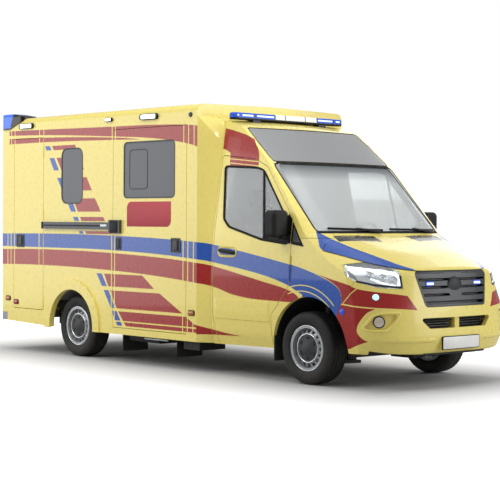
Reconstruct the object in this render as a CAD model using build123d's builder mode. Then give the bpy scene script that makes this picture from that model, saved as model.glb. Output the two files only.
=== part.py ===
"""Box-body ambulance on a van chassis cab, at full size, in millimetres.

The frame has +X forward, +Y to the left and +Z up, with its origin on the ground midway along the length.
Outline tables of the cab hold (ahead of the front axle, height) pairs.
"""

import os

from build123d import *

os.makedirs("parts", exist_ok=True)

# Overall sizes
LENGTH = 6180.0
FRONT_OVERHANG = 1065.0
WHEELBASE = 3665.0
TRACK = 1734.0
HUB_HEIGHT = 345.0
BOX_WIDTH = 2100.0
BOX_TOP = 2728.0
BOX_CROWN = 18.0
BOX_REAR_INSET = 30.0
BOX_FRONT_SETBACK = 1510.0

# Clearances
FIT = 0.2
PANEL_GAP = 4.0
DOOR_GAP = 6.0
PIN_GAP = 0.5
HINGE_CLEAR = 1.0

# Thicknesses
CAB_SKIN = 45.0
BOX_WALL = 45.0
GLASS = 8.0
GLASS_RECESS = 8.0

# Main stations
X_FRONT = LENGTH / 2
X_REAR = -LENGTH / 2
FRONT_AXLE_X = X_FRONT - FRONT_OVERHANG
REAR_AXLE_X = FRONT_AXLE_X - WHEELBASE
WHEEL_Y = TRACK / 2
BOX_Y = BOX_WIDTH / 2
BOX_FRONT_X = FRONT_AXLE_X - BOX_FRONT_SETBACK
BOX_REAR_X = X_REAR + BOX_REAR_INSET

RIGHT = -1.0
LEFT = 1.0
SIDES = ((RIGHT, "right"), (LEFT, "left"))

# Cab form: one row for each lengthwise section, as (y, corners); the corners run from the bumper's foot
# over nose, grille foot, bonnet edge, bonnet crown, screen foot, screen head, visor head to the roof's rear
CAB_REAR = -1340.0
CAB_SILL_Z = 300.0
CAB_SECTIONS = (
    (0.0, (1000, 315), (1062, 470), (1020, 757), (950, 1102), (600, 1262), (130, 1408), (-540, 2125),
     (-1010, 2500), 2575),
    (520.0, (965, 315), (1025, 470), (984, 757), (922, 1094), (560, 1256), (100, 1414), (-572, 2121),
     (-1042, 2492), 2568),
    (850.0, (800, 325), (880, 470), (862, 757), (735, 1075), (400, 1225), (40, 1428), (-615, 2116),
     (-1080, 2484), 2555),
    (1010.0, (520, 340), (600, 470), (600, 757), (480, 1060), (190, 1215), (-120, 1440), (-770, 2110),
     (-1240, 2466), 2535),
)
CAB_RADII = (60, 110, 220, 100, 1400, 60, 400, 250)
CAB_HOLLOWS = (5,)

# Cab flank seen from the front: (half width, height) from the sill up, with the corner radii between
CAB_FLANK = ((930, 250), (985, 430), (1000, 640), (1000, 980), (986, 1360), (788, 2775))
CAB_FLANK_RADII = (300, 600, 900, 700)


def axle(points):
    """Points given ahead of the front axle, in the frame."""
    return [(FRONT_AXLE_X + x, z) for x, z in points]


def inset_corners(points, distance):
    """Corners of a closed clockwise or counter-clockwise outline moved inwards by a distance."""
    count = len(points)
    area = sum(points[i - 1][0] * points[i][1] - points[i][0] * points[i - 1][1] for i in range(count))
    turn = 1.0 if area > 0 else -1.0
    moved = []
    for i in range(count):
        (ax, az), (bx, bz), (cx, cz) = points[i - 1], points[i], points[(i + 1) % count]
        ux, uz = bx - ax, bz - az
        vx, vz = cx - bx, cz - bz
        ul, vl = (ux * ux + uz * uz) ** 0.5, (vx * vx + vz * vz) ** 0.5
        ux, uz, vx, vz = ux / ul, uz / ul, vx / vl, vz / vl
        spread = 1.0 + ux * vx + uz * vz
        moved.append((bx - turn * distance * (uz + vz) / spread, bz + turn * distance * (ux + vx) / spread))
    return moved


def cab_form(inset):
    """Solid of the cab's form moved inwards by an inset; inner forms run out below and behind."""
    run_out = 0.0 if inset == 0.0 else 6 * CAB_SKIN
    radii = [r + inset if i in CAB_HOLLOWS else r - inset for i, r in enumerate(CAB_RADII)]
    flank = [(-y, z) for y, z in CAB_FLANK] + [(y, z) for y, z in reversed(CAB_FLANK)]
    flank_radii = [r - inset for r in CAB_FLANK_RADII]
    rows = [(-row[0], row) for row in reversed(CAB_SECTIONS[1:])] + [(row[0], row) for row in CAB_SECTIONS]
    with BuildPart() as form:
        for y, row in rows:
            corners = [(CAB_REAR, CAB_SILL_Z)] + list(row[1:-1]) + [(CAB_REAR, row[-1])]
            corners = inset_corners(corners, inset)
            corners[0] = (CAB_REAR - run_out, corners[0][1] - run_out - inset)
            corners[1] = (corners[1][0], corners[1][1] - run_out - inset)
            corners[-1] = (CAB_REAR - run_out, corners[-1][1])
            with BuildSketch(Plane.XZ.offset(-y)):
                with BuildLine():
                    chain = FilletPolyline(*axle(corners), radius=radii)
                    Line(chain @ 1, chain @ 0)
                make_face()
        loft()
        with BuildSketch(Plane.YZ.offset(FRONT_AXLE_X + CAB_REAR - run_out)):
            with BuildLine():
                FilletPolyline(*inset_corners(flank, inset), close=True,
                               radius=[0] + flank_radii + [0, 0] + flank_radii[::-1] + [0])
            make_face()
        extrude(amount=FRONT_OVERHANG - CAB_REAR + 2 * run_out, mode=Mode.INTERSECT)
    return form.part


def side_prism(points, low, high, grow=0.0, radius=0.0):
    """Solid of an outline seen from the side, between two values of y."""
    with BuildPart(mode=Mode.PRIVATE) as prism:
        with BuildSketch(Plane.XZ.offset(-high)) as outline:
            with BuildLine():
                Polyline(*points, close=True)
            make_face()
            if radius > 0.0:
                fillet(outline.vertices(), radius)
            if grow != 0.0:
                offset(amount=grow, kind=Kind.INTERSECTION)
        extrude(amount=high - low)
    return prism.part


def front_prism(points, low, high, grow=0.0, radius=0.0):
    """Solid of an outline seen from the front, as (y, z) points, between two values of x."""
    with BuildPart(mode=Mode.PRIVATE) as prism:
        with BuildSketch(Plane.YZ.offset(low)) as outline:
            with BuildLine():
                Polyline(*points, close=True)
            make_face()
            if radius > 0.0:
                fillet(outline.vertices(), radius)
            if grow != 0.0:
                offset(amount=grow, kind=Kind.INTERSECTION)
        extrude(amount=high - low)
    return prism.part


def block(x_span, y_span, z_span):
    """Rectangular solid between three pairs of values."""
    lows = (min(x_span), min(y_span), min(z_span))
    sizes = [abs(b - a) for a, b in (x_span, y_span, z_span)]
    with BuildPart(mode=Mode.PRIVATE) as solid:
        with Locations(lows):
            Box(*sizes, align=(Align.MIN, Align.MIN, Align.MIN))
    return solid.part


def rod(start, end, radius):
    """Round bar between two points."""
    axis = Vector(*end) - Vector(*start)
    with BuildPart(mode=Mode.PRIVATE) as solid:
        with BuildSketch(Plane(origin=start, z_dir=axis)):
            Circle(radius)
        extrude(amount=axis.length)
    return solid.part


def mirrored(points):
    """Points of the right-hand half of a front view, followed by their mirror images."""
    return list(points) + [(-y, z) for y, z in reversed(points)]


# Hinge barrels: one on the moving piece between two on the fixed one
BARREL_LENGTH = 60.0
BARREL_END = 28.0


def barrels(spots, axis, radius, moving, grow=0.0):
    """Barrels of the hinges at given spots along an axis, the middle ones or the end ones."""
    half = BARREL_LENGTH / 2
    if moving:
        spans = ((-half - grow, half + grow),)
    else:
        spans = ((-half - PIN_GAP - BARREL_END - grow, -half - PIN_GAP),
                 (half + PIN_GAP, half + PIN_GAP + BARREL_END + grow))
    with BuildPart(mode=Mode.PRIVATE) as solid:
        for spot in spots:
            for low, high in spans:
                start = Vector(*spot) + Vector(*axis) * low
                with BuildSketch(Plane(origin=start, z_dir=axis)):
                    Circle(radius + grow)
                extrude(amount=high - low)
    return solid.part


def save(solid, name):
    """Label a finished piece and write it out."""
    shape = solid.part if isinstance(solid, BuildPart) else solid
    shape.label = name
    export_step(shape, f"parts/{name}.step")


# Forms of the cab skin and its glass
OUTER_FORM = cab_form(0.0)
INNER_FORM = cab_form(CAB_SKIN)
GLASS_OUTER = cab_form(GLASS_RECESS)
GLASS_INNER = cab_form(GLASS_RECESS + GLASS)
with BuildPart() as cab_skin:
    add(OUTER_FORM)
    add(INNER_FORM, mode=Mode.SUBTRACT)
CAB_SKIN_SOLID = cab_skin.part
with BuildPart() as glass_skin:
    add(GLASS_OUTER)
    add(GLASS_INNER, mode=Mode.SUBTRACT)
GLASS_SKIN_SOLID = glass_skin.part
FAR = BOX_WIDTH

# Outlines of the cab's panels, ahead of the front axle
BONNET_REAR = 150.0
BONNET_GAP = 8.0
BONNET_OUTLINE = ((150, 1700), (150, 1395), (199, 1270), (615, 1163), (925, 1094), (1300, 1094),
                  (1300, 1700))
FRONT_OUTLINE = ((-520, 0), (-520, 700), (-203, 1000), (-203, 1380), (150, 1380), (150, 1700), (1300, 1700),
                 (1300, 0))
BUMPER_OUTLINE = ((200, 0), (200, 738), (330, 742), (470, 790), (600, 965), (640, 1200), (1300, 1200),
                  (1300, 0))
HEADLAMP_OUTLINE = ((443, 1142), (540, 1035), (640, 985), (800, 940), (1000, 925), (1000, 1190),
                    (640, 1176))
HEADLAMP_INNER_Y = 648.0
DOOR_OUTLINE = ((-209, 985), (-209, 1560), (-640, 2068), (-830, 2150), (-1295, 2196), (-1316, 2175),
                (-1316, 600),
                (-1212, 100), (-440, 100), (-470, 520), (-466, 640), (-388, 726), (-241, 903))
WINDOW_OUTLINE = ((-1262, 2085), (-1200, 1560), (-1115, 1484), (-620, 1364), (-250, 1326), (-250, 1500),
                  (-684, 2029),
                  (-786, 2062))
ARCH_AHEAD = 45.0
ARCH_RADIUS = 487.0
DOOR_HINGE_HEIGHTS = (1030.0, 1150.0)
DOOR_HINGE_Y = 1001.0
DOOR_HINGE_RADIUS = 11.0
BONNET_HINGE_Y = 450.0
BONNET_HINGE_Z = 1401.0
BONNET_HINGE_RADIUS = 7.0

# Outlines seen from the front, as (y, z)
SCREEN_OUTLINE = ((-866, 1440), (-800, 2104), (800, 2104), (866, 1440))
VISOR_OUTLINE = ((-797, 2126), (-752, 2474), (752, 2474), (797, 2126))
GRILLE_OUTLINE = ((-517, 1088), (517, 1088), (424, 762), (-424, 762))
GRILLE_RADIUS = 40.0
INTAKE_OUTLINE = ((-510, 660), (510, 660), (400, 562), (-400, 562))
INTAKE_RADIUS = 18.0
INTAKE_STRUT = ((930.0, 1012.0), (-32.0, 32.0), (540.0, 690.0))
FOG_OUTLINE = ((962, 580), (915, 680), (875, 698), (720, 706), (772, 628), (830, 563), (940, 560))

# Tabs across the panel gaps: (x, z) spans ahead of the front axle in which neighbouring panels touch
TABS = ((-110, -70, 1300, 1420), (380, 400, 700, 800), (700, 720, 900, 990))


def with_tabs(zone, clear):
    """A cutting solid with a gap all round its zone, apart from the tabs."""
    with BuildPart(mode=Mode.PRIVATE) as cutter:
        add(clear)
        for x1, x2, z1, z2 in TABS:
            add(block((FRONT_AXLE_X + x1, FRONT_AXLE_X + x2), (-FAR, FAR), (z1, z2)), mode=Mode.SUBTRACT)
        add(zone)
    return cutter.part


BONNET_ZONE = side_prism(axle(BONNET_OUTLINE), -FAR, FAR)
BONNET_CLEAR = side_prism(axle(BONNET_OUTLINE), -FAR, FAR, grow=BONNET_GAP)
FRONT_ZONE = side_prism(axle(FRONT_OUTLINE), -FAR, FAR)
FRONT_CLEAR = with_tabs(FRONT_ZONE, side_prism(axle(FRONT_OUTLINE), -FAR, FAR, grow=PANEL_GAP))
BUMPER_ZONE = side_prism(axle(BUMPER_OUTLINE), -FAR, FAR)
BUMPER_CLEAR = with_tabs(BUMPER_ZONE, side_prism(axle(BUMPER_OUTLINE), -FAR, FAR, grow=PANEL_GAP))
DOOR_CLEAR = side_prism(axle(DOOR_OUTLINE), -FAR, FAR, grow=DOOR_GAP)
FRONT_X = FRONT_AXLE_X + 700.0
SCREEN_ZONE = front_prism(SCREEN_OUTLINE, FRONT_AXLE_X + CAB_REAR, X_FRONT, radius=40.0)
VISOR_ZONE = front_prism(VISOR_OUTLINE, FRONT_AXLE_X + CAB_REAR, X_FRONT, radius=30.0)
with BuildPart() as lamp_zone:
    for side, _ in SIDES:
        add(side_prism(axle(HEADLAMP_OUTLINE), min(side * HEADLAMP_INNER_Y, side * FAR),
                       max(side * HEADLAMP_INNER_Y, side * FAR)))
with BuildPart() as lamp_clear:
    for side, _ in SIDES:
        inner = HEADLAMP_INNER_Y - PANEL_GAP
        add(side_prism(axle(HEADLAMP_OUTLINE), min(side * inner, side * FAR), max(side * inner, side * FAR),
                       grow=PANEL_GAP))
LAMP_CLEAR = with_tabs(lamp_zone.part, lamp_clear.part)
DOOR_HINGE_SPOTS = {side: [(FRONT_AXLE_X - 206.0, side * DOOR_HINGE_Y,
                            z) for z in DOOR_HINGE_HEIGHTS] for side, _ in SIDES}
BONNET_HINGE_SPOTS = [(FRONT_AXLE_X + BONNET_REAR - BONNET_GAP / 2, side * BONNET_HINGE_Y,
                       BONNET_HINGE_Z) for side, _ in SIDES]
UP = (0, 0, 1)
ACROSS = (0, 1, 0)

# Light bar above the screen: (middle ahead of the axle, width, half length, height from, to) and its feet
BAR = (-1290.0, 115.0, 790.0, 2583.0, 2642.0)
BAR_FOOT = (45.0, 420.0, 530.0, 2520.0)


def bar_foot(side):
    """Spans of one of the light bar's feet, let into the roof."""
    x = FRONT_AXLE_X + BAR[0]
    y_span = (side * BAR_FOOT[1], side * BAR_FOOT[2])
    return (x - BAR_FOOT[0], x + BAR_FOOT[0]), y_span, (BAR_FOOT[3], BAR[3])


# Bonnet
with BuildPart() as bonnet:
    add(CAB_SKIN_SOLID)
    add(BONNET_ZONE, mode=Mode.INTERSECT)
    add(barrels(BONNET_HINGE_SPOTS, ACROSS, BONNET_HINGE_RADIUS, False, HINGE_CLEAR), mode=Mode.SUBTRACT)
    add(barrels(BONNET_HINGE_SPOTS, ACROSS, BONNET_HINGE_RADIUS, True))
save(bonnet, "bonnet")

# Cab shell: roof, screen pillars and cowl
with BuildPart() as cab_shell:
    add(CAB_SKIN_SOLID)
    add(FRONT_CLEAR, mode=Mode.SUBTRACT)
    add(BONNET_CLEAR, mode=Mode.SUBTRACT)
    add(DOOR_CLEAR, mode=Mode.SUBTRACT)
    add(SCREEN_ZONE, mode=Mode.SUBTRACT)
    add(VISOR_ZONE, mode=Mode.SUBTRACT)
    add(barrels(BONNET_HINGE_SPOTS, ACROSS, BONNET_HINGE_RADIUS, True, HINGE_CLEAR), mode=Mode.SUBTRACT)
    add(barrels(BONNET_HINGE_SPOTS, ACROSS, BONNET_HINGE_RADIUS, False))
    for side, _ in SIDES:
        add(block(*bar_foot(side)), mode=Mode.SUBTRACT)
save(cab_shell, "cab_shell")

# Windscreen and the dark panel above it
with BuildPart() as windscreen:
    add(GLASS_SKIN_SOLID)
    add(SCREEN_ZONE, mode=Mode.INTERSECT)
save(windscreen, "windscreen")
with BuildPart() as visor_panel:
    add(CAB_SKIN_SOLID)
    add(VISOR_ZONE, mode=Mode.INTERSECT)
save(visor_panel, "visor_panel")

# Front wings
with BuildPart() as front_wings:
    add(CAB_SKIN_SOLID)
    add(FRONT_ZONE, mode=Mode.INTERSECT)
    add(BONNET_CLEAR, mode=Mode.SUBTRACT)
    add(DOOR_CLEAR, mode=Mode.SUBTRACT)
    add(BUMPER_CLEAR, mode=Mode.SUBTRACT)
    add(LAMP_CLEAR, mode=Mode.SUBTRACT)
    add(block((-LENGTH, LENGTH), (-HEADLAMP_INNER_Y - 50, HEADLAMP_INNER_Y + 50), (0, LENGTH)),
        mode=Mode.SUBTRACT)
    add(rod((FRONT_AXLE_X + ARCH_AHEAD, -FAR, HUB_HEIGHT), (FRONT_AXLE_X + ARCH_AHEAD, FAR, HUB_HEIGHT),
            ARCH_RADIUS),
        mode=Mode.SUBTRACT)
    for side, _ in SIDES:
        add(barrels(DOOR_HINGE_SPOTS[side], UP, DOOR_HINGE_RADIUS, True, HINGE_CLEAR), mode=Mode.SUBTRACT)
        add(barrels(DOOR_HINGE_SPOTS[side], UP, DOOR_HINGE_RADIUS, False))
save(front_wings, "front_wings")

# Headlamps
with BuildPart() as headlamps:
    add(CAB_SKIN_SOLID)
    add(lamp_zone.part, mode=Mode.INTERSECT)
    add(BONNET_CLEAR, mode=Mode.SUBTRACT)
save(headlamps, "headlamps")

# Bumper with the grille's surround and the number plate's plinth
PLINTH = (530.0, 120.0, 425.0)
with BuildPart() as front_bumper:
    add(CAB_SKIN_SOLID)
    add(BUMPER_ZONE, mode=Mode.INTERSECT)
    add(BONNET_CLEAR, mode=Mode.SUBTRACT)
    add(LAMP_CLEAR, mode=Mode.SUBTRACT)
    add(rod((FRONT_AXLE_X + ARCH_AHEAD, -FAR, HUB_HEIGHT), (FRONT_AXLE_X + ARCH_AHEAD, FAR, HUB_HEIGHT),
            ARCH_RADIUS),
        mode=Mode.SUBTRACT)
    add(front_prism(GRILLE_OUTLINE, FRONT_X, X_FRONT, grow=PANEL_GAP, radius=GRILLE_RADIUS),
        mode=Mode.SUBTRACT)
    add(front_prism(INTAKE_OUTLINE, FRONT_X, X_FRONT, radius=INTAKE_RADIUS), mode=Mode.SUBTRACT)
    add(block([FRONT_AXLE_X + x for x in INTAKE_STRUT[0]], *INTAKE_STRUT[1:]))
    for side, _ in SIDES:
        add(front_prism([(side * y, z) for y, z in FOG_OUTLINE], FRONT_X - 200, X_FRONT, radius=20.0),
            mode=Mode.SUBTRACT)
    with BuildSketch(Plane.YZ.offset(X_FRONT)):
        with Locations((0, PLINTH[2])):
            RectangleRounded(PLINTH[0], PLINTH[1], 10)
    extrude(amount=-60.0)
save(front_bumper, "front_bumper")

# Grille: frame, broad bars and a plain round boss, on a back plate
GRILLE_BACK = 30.0
GRILLE_FRAME = 22.0
GRILLE_BARS = ((835, 46), (905, 46), (975, 46), (1045, 46))
PANEL_FRONT_X = FRONT_AXLE_X + 860.0
with BuildPart() as grille:
    add(CAB_SKIN_SOLID)
    with BuildSketch(Plane.YZ.offset(FRONT_X)) as face:
        with BuildLine():
            FilletPolyline(*GRILLE_OUTLINE, radius=GRILLE_RADIUS, close=True)
        make_face()
        offset(amount=-GRILLE_FRAME, kind=Kind.INTERSECTION, mode=Mode.SUBTRACT)
        for z, height in GRILLE_BARS:
            with Locations((0, z)):
                Rectangle(1100, height)
        with Locations((0, 930)):
            Circle(105)
        with BuildLine():
            FilletPolyline(*GRILLE_OUTLINE, radius=GRILLE_RADIUS, close=True)
        make_face(mode=Mode.INTERSECT)
    extrude(amount=X_FRONT - FRONT_X, mode=Mode.INTERSECT)
    add(block((PANEL_FRONT_X, X_FRONT), (-412, 412), (772, 1060)).intersect(INNER_FORM))
save(grille, "grille")

# Fog lamps in their recesses: (ahead of the axle, half width, height) of a lens and the way it faces
FOG_RECESS = 32.0
FOG_LENS = (836.0, 880.0, 632.0)
FOG_WAY = (0.78, 0.62)
FOG_RADIUS = 52.0
FOG_SPAN = (48.0, 7.0)
FOG_FORM = cab_form(FOG_RECESS)
with BuildPart() as fog_zone:
    for side, _ in SIDES:
        add(front_prism([(side * y, z) for y, z in FOG_OUTLINE], FRONT_X - 200, X_FRONT, radius=20.0))
with BuildPart() as fog_lamps:
    add(FOG_FORM)
    add(INNER_FORM, mode=Mode.SUBTRACT)
    add(fog_zone.part, mode=Mode.INTERSECT)
    for side, _ in SIDES:
        ends = [(FRONT_AXLE_X + FOG_LENS[0] - depth * FOG_WAY[0], side * (FOG_LENS[1] - depth * FOG_WAY[1]),
                 FOG_LENS[2])
                for depth in FOG_SPAN]
        add(rod(*ends, FOG_RADIUS))
save(fog_lamps, "fog_lamps")

# Cab doors, their glass and mirrors
for side, word in SIDES:
    near, far = min(side * 500.0, side * FAR), max(side * 500.0, side * FAR)
    door_zone = side_prism(axle(DOOR_OUTLINE), near, far)
    window_zone = side_prism(axle(WINDOW_OUTLINE), near, far, radius=30.0)
    with BuildPart() as door:
        add(CAB_SKIN_SOLID)
        add(door_zone, mode=Mode.INTERSECT)
        add(window_zone, mode=Mode.SUBTRACT)
        add(barrels(DOOR_HINGE_SPOTS[side], UP, DOOR_HINGE_RADIUS, False, HINGE_CLEAR), mode=Mode.SUBTRACT)
        add(barrels(DOOR_HINGE_SPOTS[side], UP, DOOR_HINGE_RADIUS, True))
    save(door, f"cab_door_{word}")
    with BuildPart() as glass:
        add(GLASS_SKIN_SOLID)
        add(window_zone, mode=Mode.INTERSECT)
    save(glass, f"door_glass_{word}")
    with BuildPart() as mirror:
        with BuildSketch(Plane.YZ.offset(FRONT_AXLE_X - 350.0)) as head:
            with Locations((side * 1090.0, 1510.0)):
                RectangleRounded(200, 270, 50)
        extrude(amount=125.0)
        fillet(mirror.edges().group_by(Axis.X)[-1], 40)
        add(block((FRONT_AXLE_X - 290.0, FRONT_AXLE_X - 213.0), (side * 1000.0, side * 1090.0),
                  (1360, 1400)))
        add(block((FRONT_AXLE_X - 247.0, FRONT_AXLE_X - 213.0), (side * 900.0, side * 1010.0),
                  (1350, 1410)))
        add(OUTER_FORM, mode=Mode.SUBTRACT)
    save(mirror, f"mirror_{word}")

# Box body
ROOF_BASE = 2540.0
ROOF_RADIUS = 80.0
SKIRT_Z = 306.0
SKIRT_REAR_Z = 345.0
REAR_FRAME_DEPTH = 112.0
REAR_FRAME_FOOT = 440.0
BOX_FRAME_X = BOX_REAR_X + REAR_FRAME_DEPTH
FLOOR_TOP = 700.0
FLOOR_THICK = 45.0
BEARER = 35.0
FRAME_TOP = FLOOR_TOP - FLOOR_THICK - BEARER
FRAME_HEIGHT = 140.0
REAR_ARCH_RADIUS = 412.0
REAR_FLARE_RADIUS = 525.0
REAR_FLARE = 22.0


def box_form(inset, low):
    """Solid of the box body's form, moved inwards by an inset, from a height up."""
    with BuildPart(mode=Mode.PRIVATE) as form:
        with BuildSketch(Plane.YZ.offset(BOX_REAR_X)) as section:
            with BuildLine():
                FilletPolyline((-BOX_Y + inset, low), (-BOX_Y + inset, BOX_TOP - inset),
                               (0, BOX_TOP + BOX_CROWN - inset),
                               (BOX_Y - inset, BOX_TOP - inset), (BOX_Y - inset, low),
                               radius=[0, ROOF_RADIUS - inset, 600, ROOF_RADIUS - inset, 0], close=True)
            make_face()
        extrude(amount=BOX_FRONT_X - BOX_REAR_X)
    return form.part


BOX_FORM = box_form(0.0, SKIRT_Z)
with BuildPart() as box_roof:
    add(box_form(0.0, ROOF_BASE))
    add(box_form(BOX_WALL, ROOF_BASE), mode=Mode.SUBTRACT)
    add(block((BOX_REAR_X - 10, BOX_FRAME_X), (-FAR, FAR), (0, 2 * BOX_TOP)), mode=Mode.SUBTRACT)
save(box_roof, "box_roof")

# Openings of the side walls: (along x from, to, height from, to)
LOCKER = (BOX_REAR_X + 244.0, BOX_REAR_X + 846.0, 501.0, 2480.0)
SLIDE = (BOX_FRONT_X - 1402.0, BOX_FRONT_X - 170.0, 380.0, 2515.0)
SMALL_WINDOW = (REAR_AXLE_X - 210.0, REAR_AXLE_X + 190.0, 1725.0, 2340.0)
BIG_WINDOW = (BOX_FRONT_X - 1213.0, BOX_FRONT_X - 358.0, 1778.0, 2371.0)
WINDOW_RADIUS = 45.0
SMALL_RADIUS = 85.0
LOCKER_HINGES = (577.0, 1603.0, 2306.0)
LOCKER_HINGE_RADIUS = 8.0
LOCKER_SPOTS = {side: [(LOCKER[1] + DOOR_GAP / 2, side * (BOX_Y + 1.0), z) for z in LOCKER_HINGES] for side,
                _ in SIDES}


def corners_of(opening):
    """Corner points of a rectangular opening."""
    x1, x2, z1, z2 = opening
    return [(x1, z1), (x2, z1), (x2, z2), (x1, z2)]


def wall_span(side):
    """The two values of y of a side wall, the lower first."""
    return min(side * BOX_Y, side * (BOX_Y - BOX_WALL)), max(side * BOX_Y, side * (BOX_Y - BOX_WALL))


WALL_OUTLINE = ((BOX_FRONT_X, SKIRT_Z), (BOX_FRONT_X, ROOF_BASE), (BOX_FRAME_X, ROOF_BASE),
                (BOX_FRAME_X, SKIRT_REAR_Z),
                (REAR_AXLE_X - REAR_ARCH_RADIUS, SKIRT_Z + 10.0), (REAR_AXLE_X, SKIRT_Z))
for side, word in SIDES:
    low, high = wall_span(side)
    with BuildPart() as wall:
        add(side_prism(WALL_OUTLINE, low, high))
        with BuildSketch(Plane.XZ.offset(-side * BOX_Y)) as flare:
            with Locations((REAR_AXLE_X, HUB_HEIGHT)):
                Circle(REAR_FLARE_RADIUS)
            with Locations((REAR_AXLE_X, SKIRT_Z)):
                Rectangle(4 * REAR_FLARE_RADIUS, 2 * REAR_FLARE_RADIUS, align=(Align.CENTER, Align.MIN),
                          mode=Mode.INTERSECT)
        extrude(amount=-side * REAR_FLARE)
        add(rod((REAR_AXLE_X, side * (BOX_Y - 2 * BOX_WALL), HUB_HEIGHT),
                (REAR_AXLE_X, side * FAR, HUB_HEIGHT), REAR_ARCH_RADIUS),
            mode=Mode.SUBTRACT)
        add(side_prism(corners_of(LOCKER), low, high + FAR * (side > 0), grow=DOOR_GAP).intersect(
            block((-LENGTH, LENGTH), (low - FAR * (side < 0), high + FAR * (side > 0)), (0, LENGTH))),
            mode=Mode.SUBTRACT)
        add(side_prism(corners_of(SMALL_WINDOW), low, high, radius=SMALL_RADIUS), mode=Mode.SUBTRACT)
        if side == RIGHT:
            add(side_prism(corners_of(SLIDE), low, high, grow=DOOR_GAP), mode=Mode.SUBTRACT)
        add(barrels(LOCKER_SPOTS[side], UP, LOCKER_HINGE_RADIUS, True, HINGE_CLEAR), mode=Mode.SUBTRACT)
        add(barrels(LOCKER_SPOTS[side], UP, LOCKER_HINGE_RADIUS, False))
    save(wall, f"box_wall_{word}")
    with BuildPart() as locker:
        add(side_prism(corners_of(LOCKER), low, high))
        add(barrels(LOCKER_SPOTS[side], UP, LOCKER_HINGE_RADIUS, False, HINGE_CLEAR), mode=Mode.SUBTRACT)
        add(barrels(LOCKER_SPOTS[side], UP, LOCKER_HINGE_RADIUS, True))
    save(locker, f"locker_door_{word}")

# Sliding side door, its rail and the box's windows
low, high = wall_span(RIGHT)
RAIL = (BOX_REAR_X + 863.0, SLIDE[0] - 40.0, 1436.0, 1514.0)
RAIL_DEPTH = 36.0
with BuildPart() as sliding_door:
    add(side_prism(corners_of(SLIDE), low, high))
    add(side_prism(corners_of(BIG_WINDOW), low, high, radius=WINDOW_RADIUS), mode=Mode.SUBTRACT)
save(sliding_door, "sliding_door")
with BuildPart() as slide_rail:
    add(block((RAIL[0], RAIL[1]), (-BOX_Y - RAIL_DEPTH, -BOX_Y), (RAIL[2], RAIL[3])))
    add(block((RAIL[1], SLIDE[0] + 150.0), (-BOX_Y - RAIL_DEPTH, -BOX_Y), (RAIL[2] - 40.0, RAIL[3] + 26.0)))
save(slide_rail, "slide_rail")
# Windows of the box: (side, opening, corner radius)
WINDOW_ROWS = ((RIGHT, BIG_WINDOW, WINDOW_RADIUS), (RIGHT, SMALL_WINDOW, SMALL_RADIUS),
               (LEFT, SMALL_WINDOW, SMALL_RADIUS))
with BuildPart() as box_windows:
    for side, opening, radius in WINDOW_ROWS:
        outer = side * (BOX_Y - GLASS_RECESS / 2)
        inner = side * (BOX_Y - GLASS_RECESS / 2 - GLASS)
        add(side_prism(corners_of(opening), min(outer, inner), max(outer, inner), radius=radius))
save(box_windows, "box_windows")

# Front wall of the box
with BuildPart() as box_front_wall:
    add(box_form(BOX_WALL, FLOOR_TOP))
    add(block((-LENGTH, BOX_FRONT_X - BOX_WALL), (-FAR, FAR), (0, LENGTH)), mode=Mode.SUBTRACT)
save(box_front_wall, "box_front_wall")

# Rear frame and doors
REAR_OPENING = (900.0, FLOOR_TOP - 5.0, 2480.0)
REAR_DOOR = (REAR_OPENING[0] - DOOR_GAP, REAR_OPENING[1] + DOOR_GAP, REAR_OPENING[2] - DOOR_GAP)
REAR_WINDOW = (190.0, 720.0, 1560.0, 2300.0)
REAR_HINGES = (850.0, 1600.0, 2350.0)
REAR_HINGE_RADIUS = 9.0
REAR_SPOTS = {side: [(BOX_REAR_X - 1.0, side * (REAR_OPENING[0] - DOOR_GAP / 2),
                      z) for z in REAR_HINGES] for side, _ in SIDES}
with BuildPart() as box_rear_frame:
    add(box_form(0.0, REAR_FRAME_FOOT))
    add(block((BOX_FRAME_X, LENGTH), (-FAR, FAR), (0, LENGTH)), mode=Mode.SUBTRACT)
    add(block((-LENGTH, LENGTH), (-REAR_OPENING[0], REAR_OPENING[0]), (REAR_OPENING[1], REAR_OPENING[2])),
        mode=Mode.SUBTRACT)
    for side, _ in SIDES:
        add(barrels(REAR_SPOTS[side], UP, REAR_HINGE_RADIUS, True, HINGE_CLEAR), mode=Mode.SUBTRACT)
        add(barrels(REAR_SPOTS[side], UP, REAR_HINGE_RADIUS, False))
save(box_rear_frame, "box_rear_frame")
for side, word in SIDES:
    with BuildPart() as rear_door:
        add(block((BOX_REAR_X, BOX_REAR_X + BOX_WALL), (side * DOOR_GAP / 2, side * REAR_DOOR[0]),
                  (REAR_DOOR[1], REAR_DOOR[2])))
        add(front_prism([(side * y, z) for y, z in corners_of(REAR_WINDOW)], BOX_REAR_X - 10,
                        BOX_REAR_X + 2 * BOX_WALL,
                        radius=WINDOW_RADIUS), mode=Mode.SUBTRACT)
        add(barrels(REAR_SPOTS[side], UP, REAR_HINGE_RADIUS, False, HINGE_CLEAR), mode=Mode.SUBTRACT)
        add(barrels(REAR_SPOTS[side], UP, REAR_HINGE_RADIUS, True))
    save(rear_door, f"rear_door_{word}")
    with BuildPart() as rear_glass:
        add(front_prism([(side * y, z) for y, z in corners_of(REAR_WINDOW)], BOX_REAR_X + GLASS_RECESS / 2,
                        BOX_REAR_X + GLASS_RECESS / 2 + GLASS, radius=WINDOW_RADIUS))
    save(rear_glass, f"rear_glass_{word}")

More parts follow.
